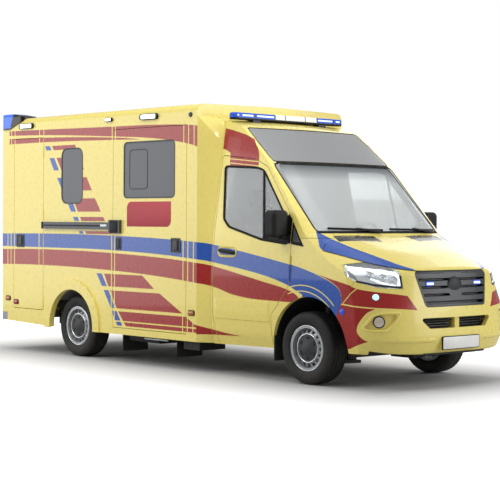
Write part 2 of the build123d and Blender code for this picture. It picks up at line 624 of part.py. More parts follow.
# Floor with its wheel boxes and bearers
HOUSING_INNER = 425.0
HOUSING_WALL = 15.0
HOUSING_Y = 720.0
BEARER_XS = (BOX_FRAME_X + 60.0, REAR_AXLE_X - 560.0, REAR_AXLE_X + 560.0, -350.0, BOX_FRONT_X - 200.0)
with BuildPart() as box_floor:
    add(block((BOX_FRAME_X, BOX_FRONT_X), (-BOX_Y + BOX_WALL, BOX_Y - BOX_WALL),
              (FLOOR_TOP - FLOOR_THICK, FLOOR_TOP)))
    for x in BEARER_XS:
        add(block((x - 40.0, x + 40.0), (-BOX_Y + BOX_WALL, BOX_Y - BOX_WALL),
                  (FRAME_TOP, FLOOR_TOP - FLOOR_THICK)))
    for side, _ in SIDES:
        outer = side * (BOX_Y - BOX_WALL)
        add(rod((REAR_AXLE_X, side * (HOUSING_Y - HOUSING_WALL), HUB_HEIGHT),
                (REAR_AXLE_X, outer, HUB_HEIGHT), HOUSING_INNER + HOUSING_WALL))
    for side, _ in SIDES:
        outer = side * (BOX_Y - BOX_WALL)
        add(rod((REAR_AXLE_X, side * HOUSING_Y, HUB_HEIGHT), (REAR_AXLE_X, outer, HUB_HEIGHT),
                HOUSING_INNER), mode=Mode.SUBTRACT)
    add(block((-LENGTH, LENGTH), (-FAR, FAR), (-LENGTH, FRAME_TOP)), mode=Mode.SUBTRACT)
save(box_floor, "box_floor")

# Collar between the cab's rear edge and the wider box
COLLAR_FRONT = ((-940, 304), (-985, 430), (-1000, 640), (-1000, 980), (-986, 1360), (-818, 2558), (0, 2577))
COLLAR_REAR = ((-1050, 306), (-1050, 430), (-1050, 640), (-1050, 980), (-1050, 1360), (-1050, 2604),
               (0, 2622))


def collar_form(inset, run_out):
    """Solid of the collar's form, moved inwards by an inset."""
    with BuildPart(mode=Mode.PRIVATE) as form:
        for x, outline in ((BOX_FRONT_X, COLLAR_REAR), (FRONT_AXLE_X + CAB_REAR - PANEL_GAP, COLLAR_FRONT)):
            moved = inset_corners(mirrored(outline[:-1])[:6] + [outline[-1]] + mirrored(outline[:-1])[6:],
                                  inset)
            moved[0] = (moved[0][0], moved[0][1] - run_out)
            moved[-1] = (moved[-1][0], moved[-1][1] - run_out)
            with BuildSketch(Plane.YZ.offset(x)):
                with BuildLine():
                    Polyline(*moved, close=True)
                make_face()
        loft(ruled=True)
    return form.part


with BuildPart() as body_collar:
    add(collar_form(0.0, 0.0))
    add(collar_form(CAB_SKIN, 4 * CAB_SKIN), mode=Mode.SUBTRACT)
save(body_collar, "body_collar")

# Lamps on the box and the light bar
SCENE_LAMPS = ((-2552.0, 281.0, 62.0), (-962.0, 126.0, 40.0), (-262.0, 295.0, 62.0))
LAMP_Z = 2629.0
with BuildPart() as scene_lamps:
    for side, _ in SIDES:
        for x, length, height in SCENE_LAMPS:
            with BuildSketch(Plane.XZ.offset(-side * BOX_Y)):
                with Locations((x, LAMP_Z)):
                    RectangleRounded(length, height, height / 2.2)
            extrude(amount=-side * 24.0)
save(scene_lamps, "scene_lamps")

# Corner beacons, which taper forward onto the roof: (ahead of the rear face, height)
BEACON_TOP = 2787.0
BEACON_FOOT = 2600.0
BEACON_SIDE = ((-12, BEACON_FOOT), (-12, BEACON_TOP), (190, BEACON_TOP), (420, 2750), (420, 2700),
               (150, BEACON_FOOT))
BEACON_Y = (840.0, BOX_Y + 12.0)
BEACON_RADIUS = 45.0
BEACON_EDGE = 16.0
with BuildPart() as corner_beacons:
    for side, _ in SIDES:
        low, high = sorted(side * y for y in BEACON_Y)
        with BuildPart(mode=Mode.PRIVATE) as beacon:
            add(side_prism([(BOX_REAR_X + x, z) for x, z in BEACON_SIDE], low, high, radius=BEACON_EDGE))
            front = [(low, 0), (high, 0), (high, BEACON_TOP), (low, BEACON_TOP)]
            add(front_prism(front, X_REAR, BOX_FRONT_X, radius=BEACON_RADIUS), mode=Mode.INTERSECT)
            with BuildSketch(Plane.XY):
                with Locations((BOX_REAR_X + 204.0, (low + high) / 2)):
                    RectangleRounded(432.0, high - low, BEACON_RADIUS)
            extrude(amount=2 * BEACON_TOP, mode=Mode.INTERSECT)
        add(beacon.part)
    add(BOX_FORM, mode=Mode.SUBTRACT)
save(corner_beacons, "corner_beacons")
with BuildPart() as light_bar:
    with BuildSketch(Plane.XY.offset(BAR[3])):
        with Locations((FRONT_AXLE_X + BAR[0], 0)):
            RectangleRounded(BAR[1], 2 * BAR[2], 50)
    extrude(amount=BAR[4] - BAR[3])
    fillet(light_bar.edges().group_by(Axis.Z)[-1], 22)
    for side, _ in SIDES:
        add(block(*bar_foot(side)))
save(light_bar, "light_bar")
with BuildPart() as rear_lamps:
    for side, _ in SIDES:
        with BuildSketch(Plane.YZ.offset(BOX_REAR_X)):
            with Locations((side * 900.0, 565.0)):
                RectangleRounded(200, 150, 25)
        extrude(amount=-22.0)
save(rear_lamps, "rear_lamps")
with BuildPart() as rear_bumper:
    add(block((X_REAR, BOX_FRAME_X), (-BOX_Y + 10, BOX_Y - 10), (SKIRT_REAR_Z, REAR_FRAME_FOOT)))
    fillet(rear_bumper.edges().filter_by(Axis.Z).group_by(Axis.X)[0], 25)
save(rear_bumper, "rear_bumper")

# Chassis
RAIL_Y = 375.0
RAIL_W = 70.0
RAIL_WALL = 12.0
FRAME_FOOT = FRAME_TOP - FRAME_HEIGHT
FRAME_FRONT = FRONT_AXLE_X + 800.0
SPRING_Y = 500.0
SPRING_W = 70.0
CROSS_XS = (FRONT_AXLE_X + 750.0, FRONT_AXLE_X - 720.0, 700.0, REAR_AXLE_X + 760.0, REAR_AXLE_X - 800.0,
            BOX_FRAME_X + 40.0)
KING_LOW = (FRONT_AXLE_X, 800.0, 215.0)
KING_TOP = (FRONT_AXLE_X, 640.0, 900.0)
TOW_X = BOX_FRAME_X + 50.0
TOW_Y = -290.0
TOW_Z = 310.0
TOW_PLATE = 20.0
TOW_RADIUS = 22.0
WEB_Y = RAIL_Y + RAIL_W - RAIL_WALL
CROSS_Z = (FRAME_FOOT + 30.0, FRAME_TOP - 20.0)
HANGER_XS = (REAR_AXLE_X + 640.0, REAR_AXLE_X - 700.0)
CAB_MOUNT_XS = (FRONT_AXLE_X - 560.0, FRONT_AXLE_X - 1200.0)
CAB_MOUNT_TOP = 655.0
TOWER = ((RAIL_Y, FRAME_TOP), (RAIL_Y + RAIL_W, FRAME_TOP), (560, KING_TOP[2] + PIN_GAP),
         (700, KING_TOP[2] + PIN_GAP), (700, KING_TOP[2] + 40), (520, KING_TOP[2] + 40))
HALF = 40.0
TOWER_HALF = 70.0
CROSS_HALF = 35.0
AXLE_BEAM_TOP = 300.0
JACK_XS = (-850.0, 1150.0)
JACK_PAD = (50.0, 12.0)
frame_pieces = []
for side, _ in SIDES:
    with BuildPart() as rail:
        with BuildSketch(Plane.YZ.offset(BOX_FRAME_X)):
            with Locations((side * (RAIL_Y + RAIL_W / 2), FRAME_FOOT + FRAME_HEIGHT / 2)):
                Rectangle(RAIL_W, FRAME_HEIGHT)
            with Locations((side * (RAIL_Y + RAIL_W / 2 - RAIL_WALL), FRAME_FOOT + FRAME_HEIGHT / 2)):
                Rectangle(RAIL_W, FRAME_HEIGHT - 2 * RAIL_WALL, mode=Mode.SUBTRACT)
        extrude(amount=FRAME_FRONT - BOX_FRAME_X)
    frame_pieces.append(rail.part)
    rail_span = (side * RAIL_Y, side * (RAIL_Y + RAIL_W))
    hanger_span = (side * (RAIL_Y + RAIL_W), side * (SPRING_Y + SPRING_W / 2))
    for x in HANGER_XS:
        frame_pieces.append(block((x - HALF, x + HALF), hanger_span, CROSS_Z))
    for x in CAB_MOUNT_XS:
        frame_pieces.append(block((x - HALF, x + HALF), rail_span, (FRAME_TOP, CAB_MOUNT_TOP)))
    for x in JACK_XS:
        frame_pieces.append(block((x - JACK_PAD[0], x + JACK_PAD[0]), rail_span,
                                  (FRAME_FOOT - JACK_PAD[1], FRAME_FOOT)))
    tower_span = (FRONT_AXLE_X - TOWER_HALF, FRONT_AXLE_X + TOWER_HALF)
    frame_pieces.append(front_prism([(side * y, z) for y, z in TOWER], *tower_span))
    frame_pieces.append(block(tower_span, rail_span, (AXLE_BEAM_TOP, FRAME_FOOT)))
for x in CROSS_XS:
    frame_pieces.append(block((x - CROSS_HALF, x + CROSS_HALF), (-WEB_Y, WEB_Y), CROSS_Z))
with BuildPart() as tow_plate:
    add(block((TOW_X - HALF, TOW_X + HALF), (TOW_Y - TOW_PLATE, TOW_Y), (TOW_Z - HALF, CROSS_Z[0])))
    add(rod((TOW_X, TOW_Y - 2 * TOW_PLATE, TOW_Z), (TOW_X, TOW_Y + TOW_PLATE, TOW_Z), TOW_RADIUS),
        mode=Mode.SUBTRACT)
frame_pieces.append(tow_plate.part)
save(Compound([solid for piece in frame_pieces for solid in piece.solids()]), "chassis_frame")

# Wheel arch liners with the mud flaps
LINER = 6.5
LINER_Y = 705.0
with BuildPart() as wheel_liners:
    for side, _ in SIDES:
        outer = side * (CAB_FLANK[2][0] - CAB_SKIN - FIT)
        add(rod((FRONT_AXLE_X + ARCH_AHEAD, side * LINER_Y, HUB_HEIGHT),
                (FRONT_AXLE_X + ARCH_AHEAD, outer, HUB_HEIGHT), ARCH_RADIUS - FIT))
    for side, _ in SIDES:
        add(rod((FRONT_AXLE_X + ARCH_AHEAD, side * LINER_Y, HUB_HEIGHT),
                (FRONT_AXLE_X + ARCH_AHEAD, side * FAR, HUB_HEIGHT),
                ARCH_RADIUS - FIT - LINER), mode=Mode.SUBTRACT)
    add(block((-LENGTH, LENGTH), (-FAR, FAR), (-LENGTH, 340)), mode=Mode.SUBTRACT)
    for side, _ in SIDES:
        add(block((FRONT_AXLE_X - 431, FRONT_AXLE_X - 417), (side * 760, side * 985), (195, 440)))
save(wheel_liners, "wheel_liners")

# Front axle: cross-member and lower arms with their ball sockets
with BuildPart() as front_axle:
    add(block((FRONT_AXLE_X - 90, FRONT_AXLE_X + 90), (-470, 470), (230, 300)))
    for side, _ in SIDES:
        with BuildSketch(Plane.XY.offset(182)):
            with BuildLine():
                Polyline((FRONT_AXLE_X - 150, side * 380), (FRONT_AXLE_X + 150, side * 380),
                         (FRONT_AXLE_X + 38, side * 800),
                         (FRONT_AXLE_X - 38, side * 800), close=True)
            make_face()
            with Locations((FRONT_AXLE_X, side * 800)):
                Circle(38)
        extrude(amount=30)
        add(block((FRONT_AXLE_X - 90, FRONT_AXLE_X + 90), (side * 380, side * 470), (182, 240)))
save(front_axle, "front_axle")

# Knuckles: strut on the steering axis, upright and wheel spindle
SPINDLE_RADIUS = 45.0
HUB_FACE = 62.0
STRUT_RADIUS = 24.0
ARM_TOP = 212.0
UPRIGHT_RADIUS = 85.0
UPRIGHT_Y = (735.0, 800.0)
KING_RUN = Vector(*KING_TOP) - Vector(*KING_LOW)
STRUT_RISE = STRUT_RADIUS * abs(KING_RUN.Y) / KING_RUN.length


def king_spot(side, z):
    """Point of the steering axis at a height."""
    along = (z - KING_LOW[2]) / KING_RUN.Z
    return FRONT_AXLE_X, side * (KING_LOW[1] + along * KING_RUN.Y), z


for side, word in SIDES:
    with BuildPart() as knuckle:
        foot = king_spot(side, ARM_TOP + PIN_GAP + STRUT_RISE)
        add(rod(foot, king_spot(side, KING_TOP[2] - STRUT_RISE), STRUT_RADIUS))
        add(rod((FRONT_AXLE_X, side * (UPRIGHT_Y[0] + 10), HUB_HEIGHT),
                (FRONT_AXLE_X, side * (WHEEL_Y + HUB_FACE), HUB_HEIGHT), SPINDLE_RADIUS))
        add(rod((FRONT_AXLE_X, side * UPRIGHT_Y[0], HUB_HEIGHT),
                (FRONT_AXLE_X, side * UPRIGHT_Y[1], HUB_HEIGHT),
                UPRIGHT_RADIUS))
    save(knuckle, f"knuckle_{word}")

# Rear axle and its springs
AXLE_RADIUS = 50.0
with BuildPart() as rear_axle:
    add(rod((REAR_AXLE_X, -WHEEL_Y - HUB_FACE, HUB_HEIGHT), (REAR_AXLE_X, WHEEL_Y + HUB_FACE, HUB_HEIGHT),
            SPINDLE_RADIUS))
    add(rod((REAR_AXLE_X, -WHEEL_Y + 80, HUB_HEIGHT), (REAR_AXLE_X, WHEEL_Y - 80, HUB_HEIGHT), AXLE_RADIUS))
    with Locations((REAR_AXLE_X, 0, HUB_HEIGHT)):
        Sphere(150)
    add(rod((REAR_AXLE_X, 0, 400), (REAR_AXLE_X + 220, 0, 400), 60))
    add(rod((REAR_AXLE_X, 0, 400), (FRONT_AXLE_X - 680, 0, 400), 38))
    for side, _ in SIDES:
        add(block((REAR_AXLE_X - 70, REAR_AXLE_X + 70), (side * (SPRING_Y - 45), side * (SPRING_Y + 45)),
                  (HUB_HEIGHT, 404)))
save(rear_axle, "rear_axle")
with BuildPart() as leaf_springs:
    for side, _ in SIDES:
        with BuildSketch(Plane.XZ.offset(-side * SPRING_Y - SPRING_W / 2)):
            with BuildLine():
                lower = ThreePointArc((REAR_AXLE_X - 740, 490), (REAR_AXLE_X, 404),
                                      (REAR_AXLE_X + 680, 480))
                upper = ThreePointArc((REAR_AXLE_X - 740, 512), (REAR_AXLE_X, 440),
                                      (REAR_AXLE_X + 680, 512))
                Line(lower @ 0, upper @ 0)
                Line(lower @ 1, upper @ 1)
            make_face()
        extrude(amount=SPRING_W)
    for piece in frame_pieces:
        add(piece, mode=Mode.SUBTRACT)
    add(rear_axle.part, mode=Mode.SUBTRACT)
save(leaf_springs, "leaf_springs")

# Engine with gearbox, propeller shaft, exhaust, tank, step and front panel
ENGINE_Y = 290.0
with BuildPart() as engine:
    add(block((FRONT_AXLE_X + 40, FRONT_AXLE_X + 705), (-ENGINE_Y, ENGINE_Y), (330, 960)))
    add(block((FRONT_AXLE_X - 680, FRONT_AXLE_X + 40), (-150, 150), (330, 620)))
    for side, _ in SIDES:
        add(block((FRONT_AXLE_X + 300, FRONT_AXLE_X + 400), (side * ENGINE_Y, side * WEB_Y),
                  (FRAME_FOOT + 20, FRAME_TOP - 40)))
save(engine, "engine")

# Exhaust over the rear axle, hung from two cross-members, with its tail turned down
EXHAUST_Y = 230.0
EXHAUST_RADIUS = 28.0
EXHAUST_Z = HUB_HEIGHT + AXLE_RADIUS + EXHAUST_RADIUS + 20.0
TAIL_X = REAR_AXLE_X - 940.0
SILENCER = ((-250.0, 450.0), 75.0)
with BuildPart() as exhaust:
    add(rod((TAIL_X, EXHAUST_Y, EXHAUST_Z), (FRONT_AXLE_X - 640, EXHAUST_Y, EXHAUST_Z), EXHAUST_RADIUS))
    add(rod((TAIL_X + 12, EXHAUST_Y, EXHAUST_Z + 8), (TAIL_X - 90, EXHAUST_Y, EXHAUST_Z - 70),
            EXHAUST_RADIUS))
    add(rod((SILENCER[0][0], EXHAUST_Y, EXHAUST_Z), (SILENCER[0][1], EXHAUST_Y, EXHAUST_Z), SILENCER[1]))
    for x in (CROSS_XS[2], CROSS_XS[4]):
        add(block((x - 15, x + 15), (EXHAUST_Y - 15, EXHAUST_Y + 15), (EXHAUST_Z, CROSS_Z[0])))
save(exhaust, "exhaust")
with BuildPart() as fuel_tank:
    add(block((-740, -240), (-930, -500), (230, 590)))
    fillet(fuel_tank.edges().filter_by(Axis.X), 40)
    for x in (-650.0, -330.0):
        add(block((x - 20, x + 20), (-520, -RAIL_Y - RAIL_W), (500, 560)))
    add(block((250, 500), (-990, -640), (215, 330)))
    add(block((360, 400), (-740, -RAIL_Y - RAIL_W), (300, 330)))
    add(block((360, 400), (-RAIL_Y - RAIL_W - 40, -RAIL_Y - RAIL_W), (300, FRAME_FOOT + 60)))
save(fuel_tank, "tank_and_step")
with BuildPart() as front_panel:
    add(block((FRAME_FRONT, PANEL_FRONT_X), (-540, 540), (470, 1020)))
save(front_panel, "front_panel")

# Cab floor and bulkhead
FLOOR_LINE = ((-1500, 690), (-420, 690), (-120, 960), (-120, 1330), (-80, 1330), (-80, 944), (-404, 655),
              (-1500, 655))
FLOOR_Y = 930.0
with BuildPart() as cab_floor:
    add(side_prism(axle(FLOOR_LINE), -FLOOR_Y, FLOOR_Y))
    for side, _ in SIDES:
        flank = side * (CAB_FLANK[2][0] - CAB_SKIN - FIT)
        add(block((FRONT_AXLE_X + CAB_REAR, FRONT_AXLE_X + CAB_REAR + 16.0), (side * FLOOR_Y, flank),
                  (665, 690)))
save(cab_floor, "cab_floor")

# Cab inside: dashboard, steering wheel and seats
with BuildPart() as dashboard:
    dash_line = ((-120, 1080), (-120, 1370), (-360, 1390), (-470, 1310), (-480, 1180), (-400, 1060))
    add(side_prism(axle(dash_line), -880, 880, radius=20))
save(dashboard, "dashboard")
WHEEL_SPOT = Vector(FRONT_AXLE_X - 620.0, 420.0, 1370.0)
WHEEL_AXIS = Vector(0.8, 0, -0.6)
with BuildPart() as steering_wheel:
    with BuildSketch(Plane(origin=WHEEL_SPOT + Vector(0, 190, 0), x_dir=(0, 1, 0),
                           z_dir=WHEEL_AXIS.cross(Vector(0, 1, 0)))):
        Circle(16)
    revolve(axis=Axis(WHEEL_SPOT, WHEEL_AXIS))
    add(rod(WHEEL_SPOT, WHEEL_SPOT + WHEEL_AXIS * 40, 65))
    add(rod(WHEEL_SPOT + Vector(0, -185, 0), WHEEL_SPOT + Vector(0, 185, 0), 13))
    add(rod(WHEEL_SPOT, WHEEL_SPOT + WHEEL_AXIS * 260, 32))
    add(dashboard.part, mode=Mode.SUBTRACT)
save(steering_wheel, "steering_wheel")
with BuildPart() as cab_seats:
    seat_line = ((-1210, 690), (-760, 690), (-760, 900), (-700, 940), (-700, 1050), (-1090, 1040),
                 (-1200, 1700), (-1290, 1700),
                 (-1210, 980))
    for side, _ in SIDES:
        add(side_prism(axle(seat_line), side * 430 - 240, side * 430 + 240))
save(cab_seats, "cab_seats")

# Wheels
RIM_RADIUS = 206.0
RIM_INNER = 190.0
FLANGE = 219.0
TYRE_HALF = 117.5
BEAD = 90.0
with BuildPart() as tyre_blank:
    with BuildSketch(Plane.XY):
        with BuildLine():
            Polyline((RIM_RADIUS, -BEAD + PIN_GAP), (FLANGE + PIN_GAP, -BEAD + PIN_GAP), (FLANGE + 4, -104))
            ThreePointArc((FLANGE + 4, -104), (275, -TYRE_HALF), (322, -105))
            ThreePointArc((322, -105), (338, -97), (HUB_HEIGHT, -80))
            Line((HUB_HEIGHT, -80), (HUB_HEIGHT, 80))
            ThreePointArc((HUB_HEIGHT, 80), (338, 97), (322, 105))
            ThreePointArc((322, 105), (275, TYRE_HALF), (FLANGE + 4, 104))
            Polyline((FLANGE + 4, 104), (FLANGE + PIN_GAP, BEAD - PIN_GAP), (RIM_RADIUS, BEAD - PIN_GAP),
                     (RIM_RADIUS, -BEAD + PIN_GAP))
        make_face()
    revolve(axis=Axis.Y)
with BuildPart() as rim_blank:
    with BuildSketch(Plane.XY):
        with BuildLine():
            Polyline((RIM_RADIUS, -BEAD), (FLANGE, -BEAD), (FLANGE, -BEAD - 11), (RIM_INNER, -BEAD - 11),
                     (RIM_INNER, 34), (174, 46),
                     (140, 66), (126, 70), (100, 60), (SPINDLE_RADIUS + PIN_GAP, 52),
                     (SPINDLE_RADIUS + PIN_GAP, HUB_FACE + PIN_GAP),
                     (0, HUB_FACE + PIN_GAP), (0, 96), (60, 96), (72, 84), (126, 82), (132, 90), (140, 88),
                     (150, 78), (182, 58), (RIM_INNER, 50),
                     (RIM_INNER, BEAD + 11), (FLANGE, BEAD + 11), (FLANGE, BEAD), (RIM_RADIUS, BEAD),
                     close=True)
        make_face()
    revolve(axis=Axis.Y)
    with BuildSketch(Plane.XZ.offset(-110)):
        with PolarLocations(163, 16):
            Circle(19)
    extrude(amount=100, mode=Mode.SUBTRACT)
WHEELS = (("front_right", FRONT_AXLE_X, RIGHT), ("front_left", FRONT_AXLE_X, LEFT),
          ("rear_right", REAR_AXLE_X, RIGHT),
          ("rear_left", REAR_AXLE_X, LEFT))
for word, x, side in WHEELS:
    turn = 0.0 if side == LEFT else 180.0
    with BuildPart() as tyre:
        with Locations((x, side * WHEEL_Y, HUB_HEIGHT)):
            add(tyre_blank.part, rotation=(0, 0, turn))
    save(tyre, f"tyre_{word}")
    with BuildPart() as rim:
        with Locations((x, side * WHEEL_Y, HUB_HEIGHT)):
            add(rim_blank.part, rotation=(0, 0, turn))
    save(rim, f"rim_{word}")
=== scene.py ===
"""Looks of a box-body ambulance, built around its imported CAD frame.

Places are in metres in the row frame: +X forward, +Y to the left, +Z up. Tables of the cab and of the
livery hold millimetres ahead of the front axle and above the ground; ahead() and upright() bring them into
the frame.
"""

import enum
import functools
import logging
import math
import operator
from dataclasses import dataclass
from typing import Callable, Iterable, Sequence

import bmesh
import bpy
import numpy as np
from mathutils import Matrix, Vector


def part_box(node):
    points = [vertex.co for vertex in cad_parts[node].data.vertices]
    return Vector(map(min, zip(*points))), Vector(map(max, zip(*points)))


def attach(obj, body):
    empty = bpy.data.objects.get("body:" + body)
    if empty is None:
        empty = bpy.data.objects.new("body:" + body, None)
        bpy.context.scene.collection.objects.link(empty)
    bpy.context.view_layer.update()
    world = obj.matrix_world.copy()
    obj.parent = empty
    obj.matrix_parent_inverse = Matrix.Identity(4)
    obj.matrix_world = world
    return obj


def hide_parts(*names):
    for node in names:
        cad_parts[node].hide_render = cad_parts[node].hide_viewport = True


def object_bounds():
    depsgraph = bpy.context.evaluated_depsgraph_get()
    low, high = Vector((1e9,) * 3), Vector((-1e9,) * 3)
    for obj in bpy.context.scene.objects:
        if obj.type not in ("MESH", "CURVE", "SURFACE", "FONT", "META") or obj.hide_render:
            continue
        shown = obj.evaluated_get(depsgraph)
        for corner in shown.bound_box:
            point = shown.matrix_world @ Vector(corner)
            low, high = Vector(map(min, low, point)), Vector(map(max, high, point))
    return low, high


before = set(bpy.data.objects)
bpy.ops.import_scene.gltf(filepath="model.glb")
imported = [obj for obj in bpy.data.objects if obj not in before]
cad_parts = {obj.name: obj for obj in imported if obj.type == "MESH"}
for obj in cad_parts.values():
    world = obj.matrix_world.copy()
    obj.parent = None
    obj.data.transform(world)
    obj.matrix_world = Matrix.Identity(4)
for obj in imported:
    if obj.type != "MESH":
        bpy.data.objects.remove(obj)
CAD_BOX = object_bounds()
LOG = logging.getLogger("ambulance")

Array = np.ndarray
Pairs = Sequence[tuple[float, float]]
Place = Callable[..., Array]
MM = 0.001


def centre_of(node: str) -> Vector:
    """Middle of a CAD node's box."""
    low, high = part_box(node)
    return (low + high) / 2


FRONT_AXLE_X = centre_of("rim_front_right").x
BOX_Y = -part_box("sliding_door")[0].y
BOX_REAR_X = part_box("rear_door_right")[0].x
ROOT = "chassis"
ALONG, LEFT, UP = (1, 0, 0), (0, 1, 0), (0, 0, 1)


class Side(enum.IntEnum):
    """Side of the vehicle, as the sign of Y."""

    RIGHT = -1
    LEFT = 1

    @property
    def word(self) -> str:
        """The side's name as node names have it."""
        return self.name.lower()

    @property
    def out(self) -> tuple:
        """Direction out of the side."""
        return (0, float(self), 0)


def ahead(points: Pairs) -> Array:
    """Table rows of millimetres ahead of the front axle and above the ground, in metres in the frame."""
    return np.array(points, float) * MM + np.array([FRONT_AXLE_X, 0.0])


def upright(points: Pairs) -> Array:
    """Table rows whose second column is the one ahead of the front axle, in metres in the frame."""
    return np.array(points, float) * MM + np.array([0.0, FRONT_AXLE_X])


# Shapes


@dataclass
class Form:
    """Points, quads and end caps of a shape. Forms add up to one mesh."""

    points: Array
    quads: Array
    caps: list

    def __add__(self, other: "Form") -> "Form":
        """Both shapes as one."""
        shift = len(self.points)
        caps = self.caps + [cap + shift for cap in other.caps]
        quads = np.vstack([self.quads, other.quads + shift])
        return Form(np.vstack([self.points, other.points]), quads, caps)


def joined(forms: Iterable[Form]) -> Form:
    """Several forms as one."""
    return functools.reduce(operator.add, forms)


def net(points: Array, wrap_rows: bool = False, wrap_columns: bool = True, capped: bool = False) -> Form:
    """Quads over a grid of points.

    Args:
        points: The grid, as rows, columns and three coordinates.
        wrap_rows: Whether the last row joins the first.
        wrap_columns: Whether the last column joins the first.
        capped: Whether the first and last row are closed by a face.

    Returns:
        The grid as a form.
    """
    rows, columns = points.shape[:2]
    spans = np.arange(rows - (not wrap_rows)), np.arange(columns - (not wrap_columns))
    i, j = np.meshgrid(*spans, indexing="ij")
    after, beside = (i + 1) % rows, (j + 1) % columns
    corners = [i * columns + j, after * columns + j, after * columns + beside, i * columns + beside]
    caps = [np.arange(columns)[::-1], (rows - 1) * columns + np.arange(columns)] if capped else []
    return Form(points.reshape(-1, 3), np.stack(corners, -1).reshape(-1, 4), caps)


def plane(origin: Sequence[float], across: Sequence[float], up: Sequence[float] = UP) -> Place:
    """A flat place: origin + a·across + b·up + height·(across × up).

    Args:
        origin: Where the flat coordinates are zero.
        across: Unit direction of the first flat coordinate.
        up: Unit direction of the second flat coordinate.

    Returns:
        A function of flat points and heights that gives points in the frame.
    """
    origin, across, up = (np.array(v, float) for v in (origin, across, up))
    normal = np.cross(across, up)

    def at(flat: Array, height: Array = 0.0) -> Array:
        """Points over the plane."""
        height = np.asarray(height, float)
        return origin + flat[..., :1] * across + flat[..., 1:] * up + height[..., None] * normal

    return at


def normals_of(path: Array, closed: bool) -> Array:
    """Unit normals in the plane of a path, to the right of its run: the tangent turned by a quarter."""
    run = np.roll(path, -1, 0) - np.roll(path, 1, 0) if closed else np.gradient(path, axis=0)
    run = run / np.maximum(np.linalg.norm(run, axis=1, keepdims=True), 1e-9)
    return np.stack([run[:, 1], -run[:, 0]], -1)


def pad(outline: Array, profile: Pairs, place: Place) -> Form:
    """A raised pad: rings of an outline, each moved inwards and lifted by one row of a profile.

    Args:
        outline: Closed counter-clockwise outline, as rows of two.
        profile: Rows of inset and height, from the foot to the top.
        place: Brings flat points and heights into the frame.

    Returns:
        The closed pad.
    """
    inset, height = np.array(profile, float).T
    rings = outline[None] - inset[:, None, None] * normals_of(outline, True)[None]
    return net(place(rings, np.repeat(height[:, None], len(outline), 1)), capped=True)


def ribbon(path: Array, profile: Pairs, place: Place, closed: bool = False) -> Form:
    """A profile carried along a path on a surface: path + across·normal, lifted by the profile's height.

    Args:
        path: Points of the path in the surface's flat coordinates.
        profile: Closed rows of across and height.
        place: Brings flat points and heights into the frame.
        closed: Whether the path joins up.

    Returns:
        The ribbon, capped where it is open.
    """
    across, height = np.array(profile, float).T
    flat = path[:, None] + across[None, :, None] * normals_of(path, closed)[:, None]
    return net(place(flat, np.repeat(height[None], len(path), 0)), wrap_rows=closed, capped=not closed)


def circle(count: int) -> tuple[Array, Array]:
    """Cosines and sines of even steps round a turn."""
    turn = np.arange(count) * math.tau / count
    return np.cos(turn), np.sin(turn)


def lathe(profile: Pairs, centre: Sequence[float], axis: Sequence[float], count: int = 48) -> Form:
    """A surface of revolution: radius·(cos, sin) round an axis at each station of a profile.

    Args:
        profile: Rows of radius and station along the axis; a radius of zero closes an end.
        centre: Where the station is zero.
        axis: Unit direction of the stations.
        count: Steps round the axis.

    Returns:
        The turned shape.
    """
    axis = np.array(axis, float)
    side = np.cross(axis, [0.0, 0.0, 1.0] if abs(axis[2]) < 0.9 else [1.0, 0.0, 0.0])
    side = side / np.linalg.norm(side)
    cos, sin = circle(count)
    round_about = cos[:, None] * side + sin[:, None] * np.cross(axis, side)
    radius, station = np.array(profile, float).T
    return net(np.array(centre) + radius[:, None, None] * round_about[None] + station[:, None, None] * axis)


def tube(path: Array, radius: float, count: int) -> Form:
    """A round bar with closed ends along a path in space: circles across a frame that follows the tangent."""
    run = np.gradient(path, axis=0)
    run = run / np.linalg.norm(run, axis=1, keepdims=True)
    guide = np.where(np.abs(run[:, 2:]) > 0.9, [[1.0, 0.0, 0.0]], [[0.0, 0.0, 1.0]])
    side = np.cross(run, guide)
    side = side / np.linalg.norm(side, axis=1, keepdims=True)
    cos, sin = (v[None, :, None] for v in circle(count))
    rings = cos * side[:, None] + sin * np.cross(run, side)[:, None]
    return net(path[:, None] + radius * rings, capped=True)


def rounded(width: float, height: float, radius: float, steps: int = 6) -> Array:
    """Counter-clockwise rounded rectangle: radius·(cos, sin) moved out to the corner of its quadrant."""
    quarter = (np.arange(steps) / (steps - 1.0)) * math.pi / 2
    turn = (np.arange(4)[:, None] * math.pi / 2 + quarter[None]).ravel()
    signs = np.repeat(np.array([[1, 1], [-1, 1], [-1, -1], [1, -1]]), steps, 0)
    corner = [width / 2 - radius, height / 2 - radius]
    return radius * np.stack([np.cos(turn), np.sin(turn)], -1) + signs * corner


def tile(size: Sequence[float], radius: float, profile: Pairs, place: Place, spot: object = (0, 0)) -> Form:
    """A raised rounded rectangle of a size at a spot of a place."""
    return pad(rounded(*size, radius) + np.asarray(spot), profile, place)


def softened(corners: Array, radius: float, steps: int = 7) -> Array:
    """A polygon with each corner replaced by a quadratic curve between points a radius away on its two sides.

    Args:
        corners: The polygon's corners.
        radius: How far from a corner its curve starts.
        steps: Points in a curve.

    Returns:
        The closed counter-clockwise outline.
    """
    before, after = np.roll(corners, 1, 0), np.roll(corners, -1, 0)
    if np.sum(before[:, 0] * corners[:, 1] - corners[:, 0] * before[:, 1]) < 0:
        return softened(corners[::-1], radius, steps)
    ways = (before - corners, after - corners)
    start, end = (corners + way * (radius / np.linalg.norm(way, axis=1, keepdims=True)) for way in ways)
    t = np.linspace(0, 1, steps)[None, :, None]
    curves = (1 - t) ** 2 * start[:, None] + 2 * t * (1 - t) * corners[:, None] + t**2 * end[:, None]
    return curves.reshape(-1, 2)


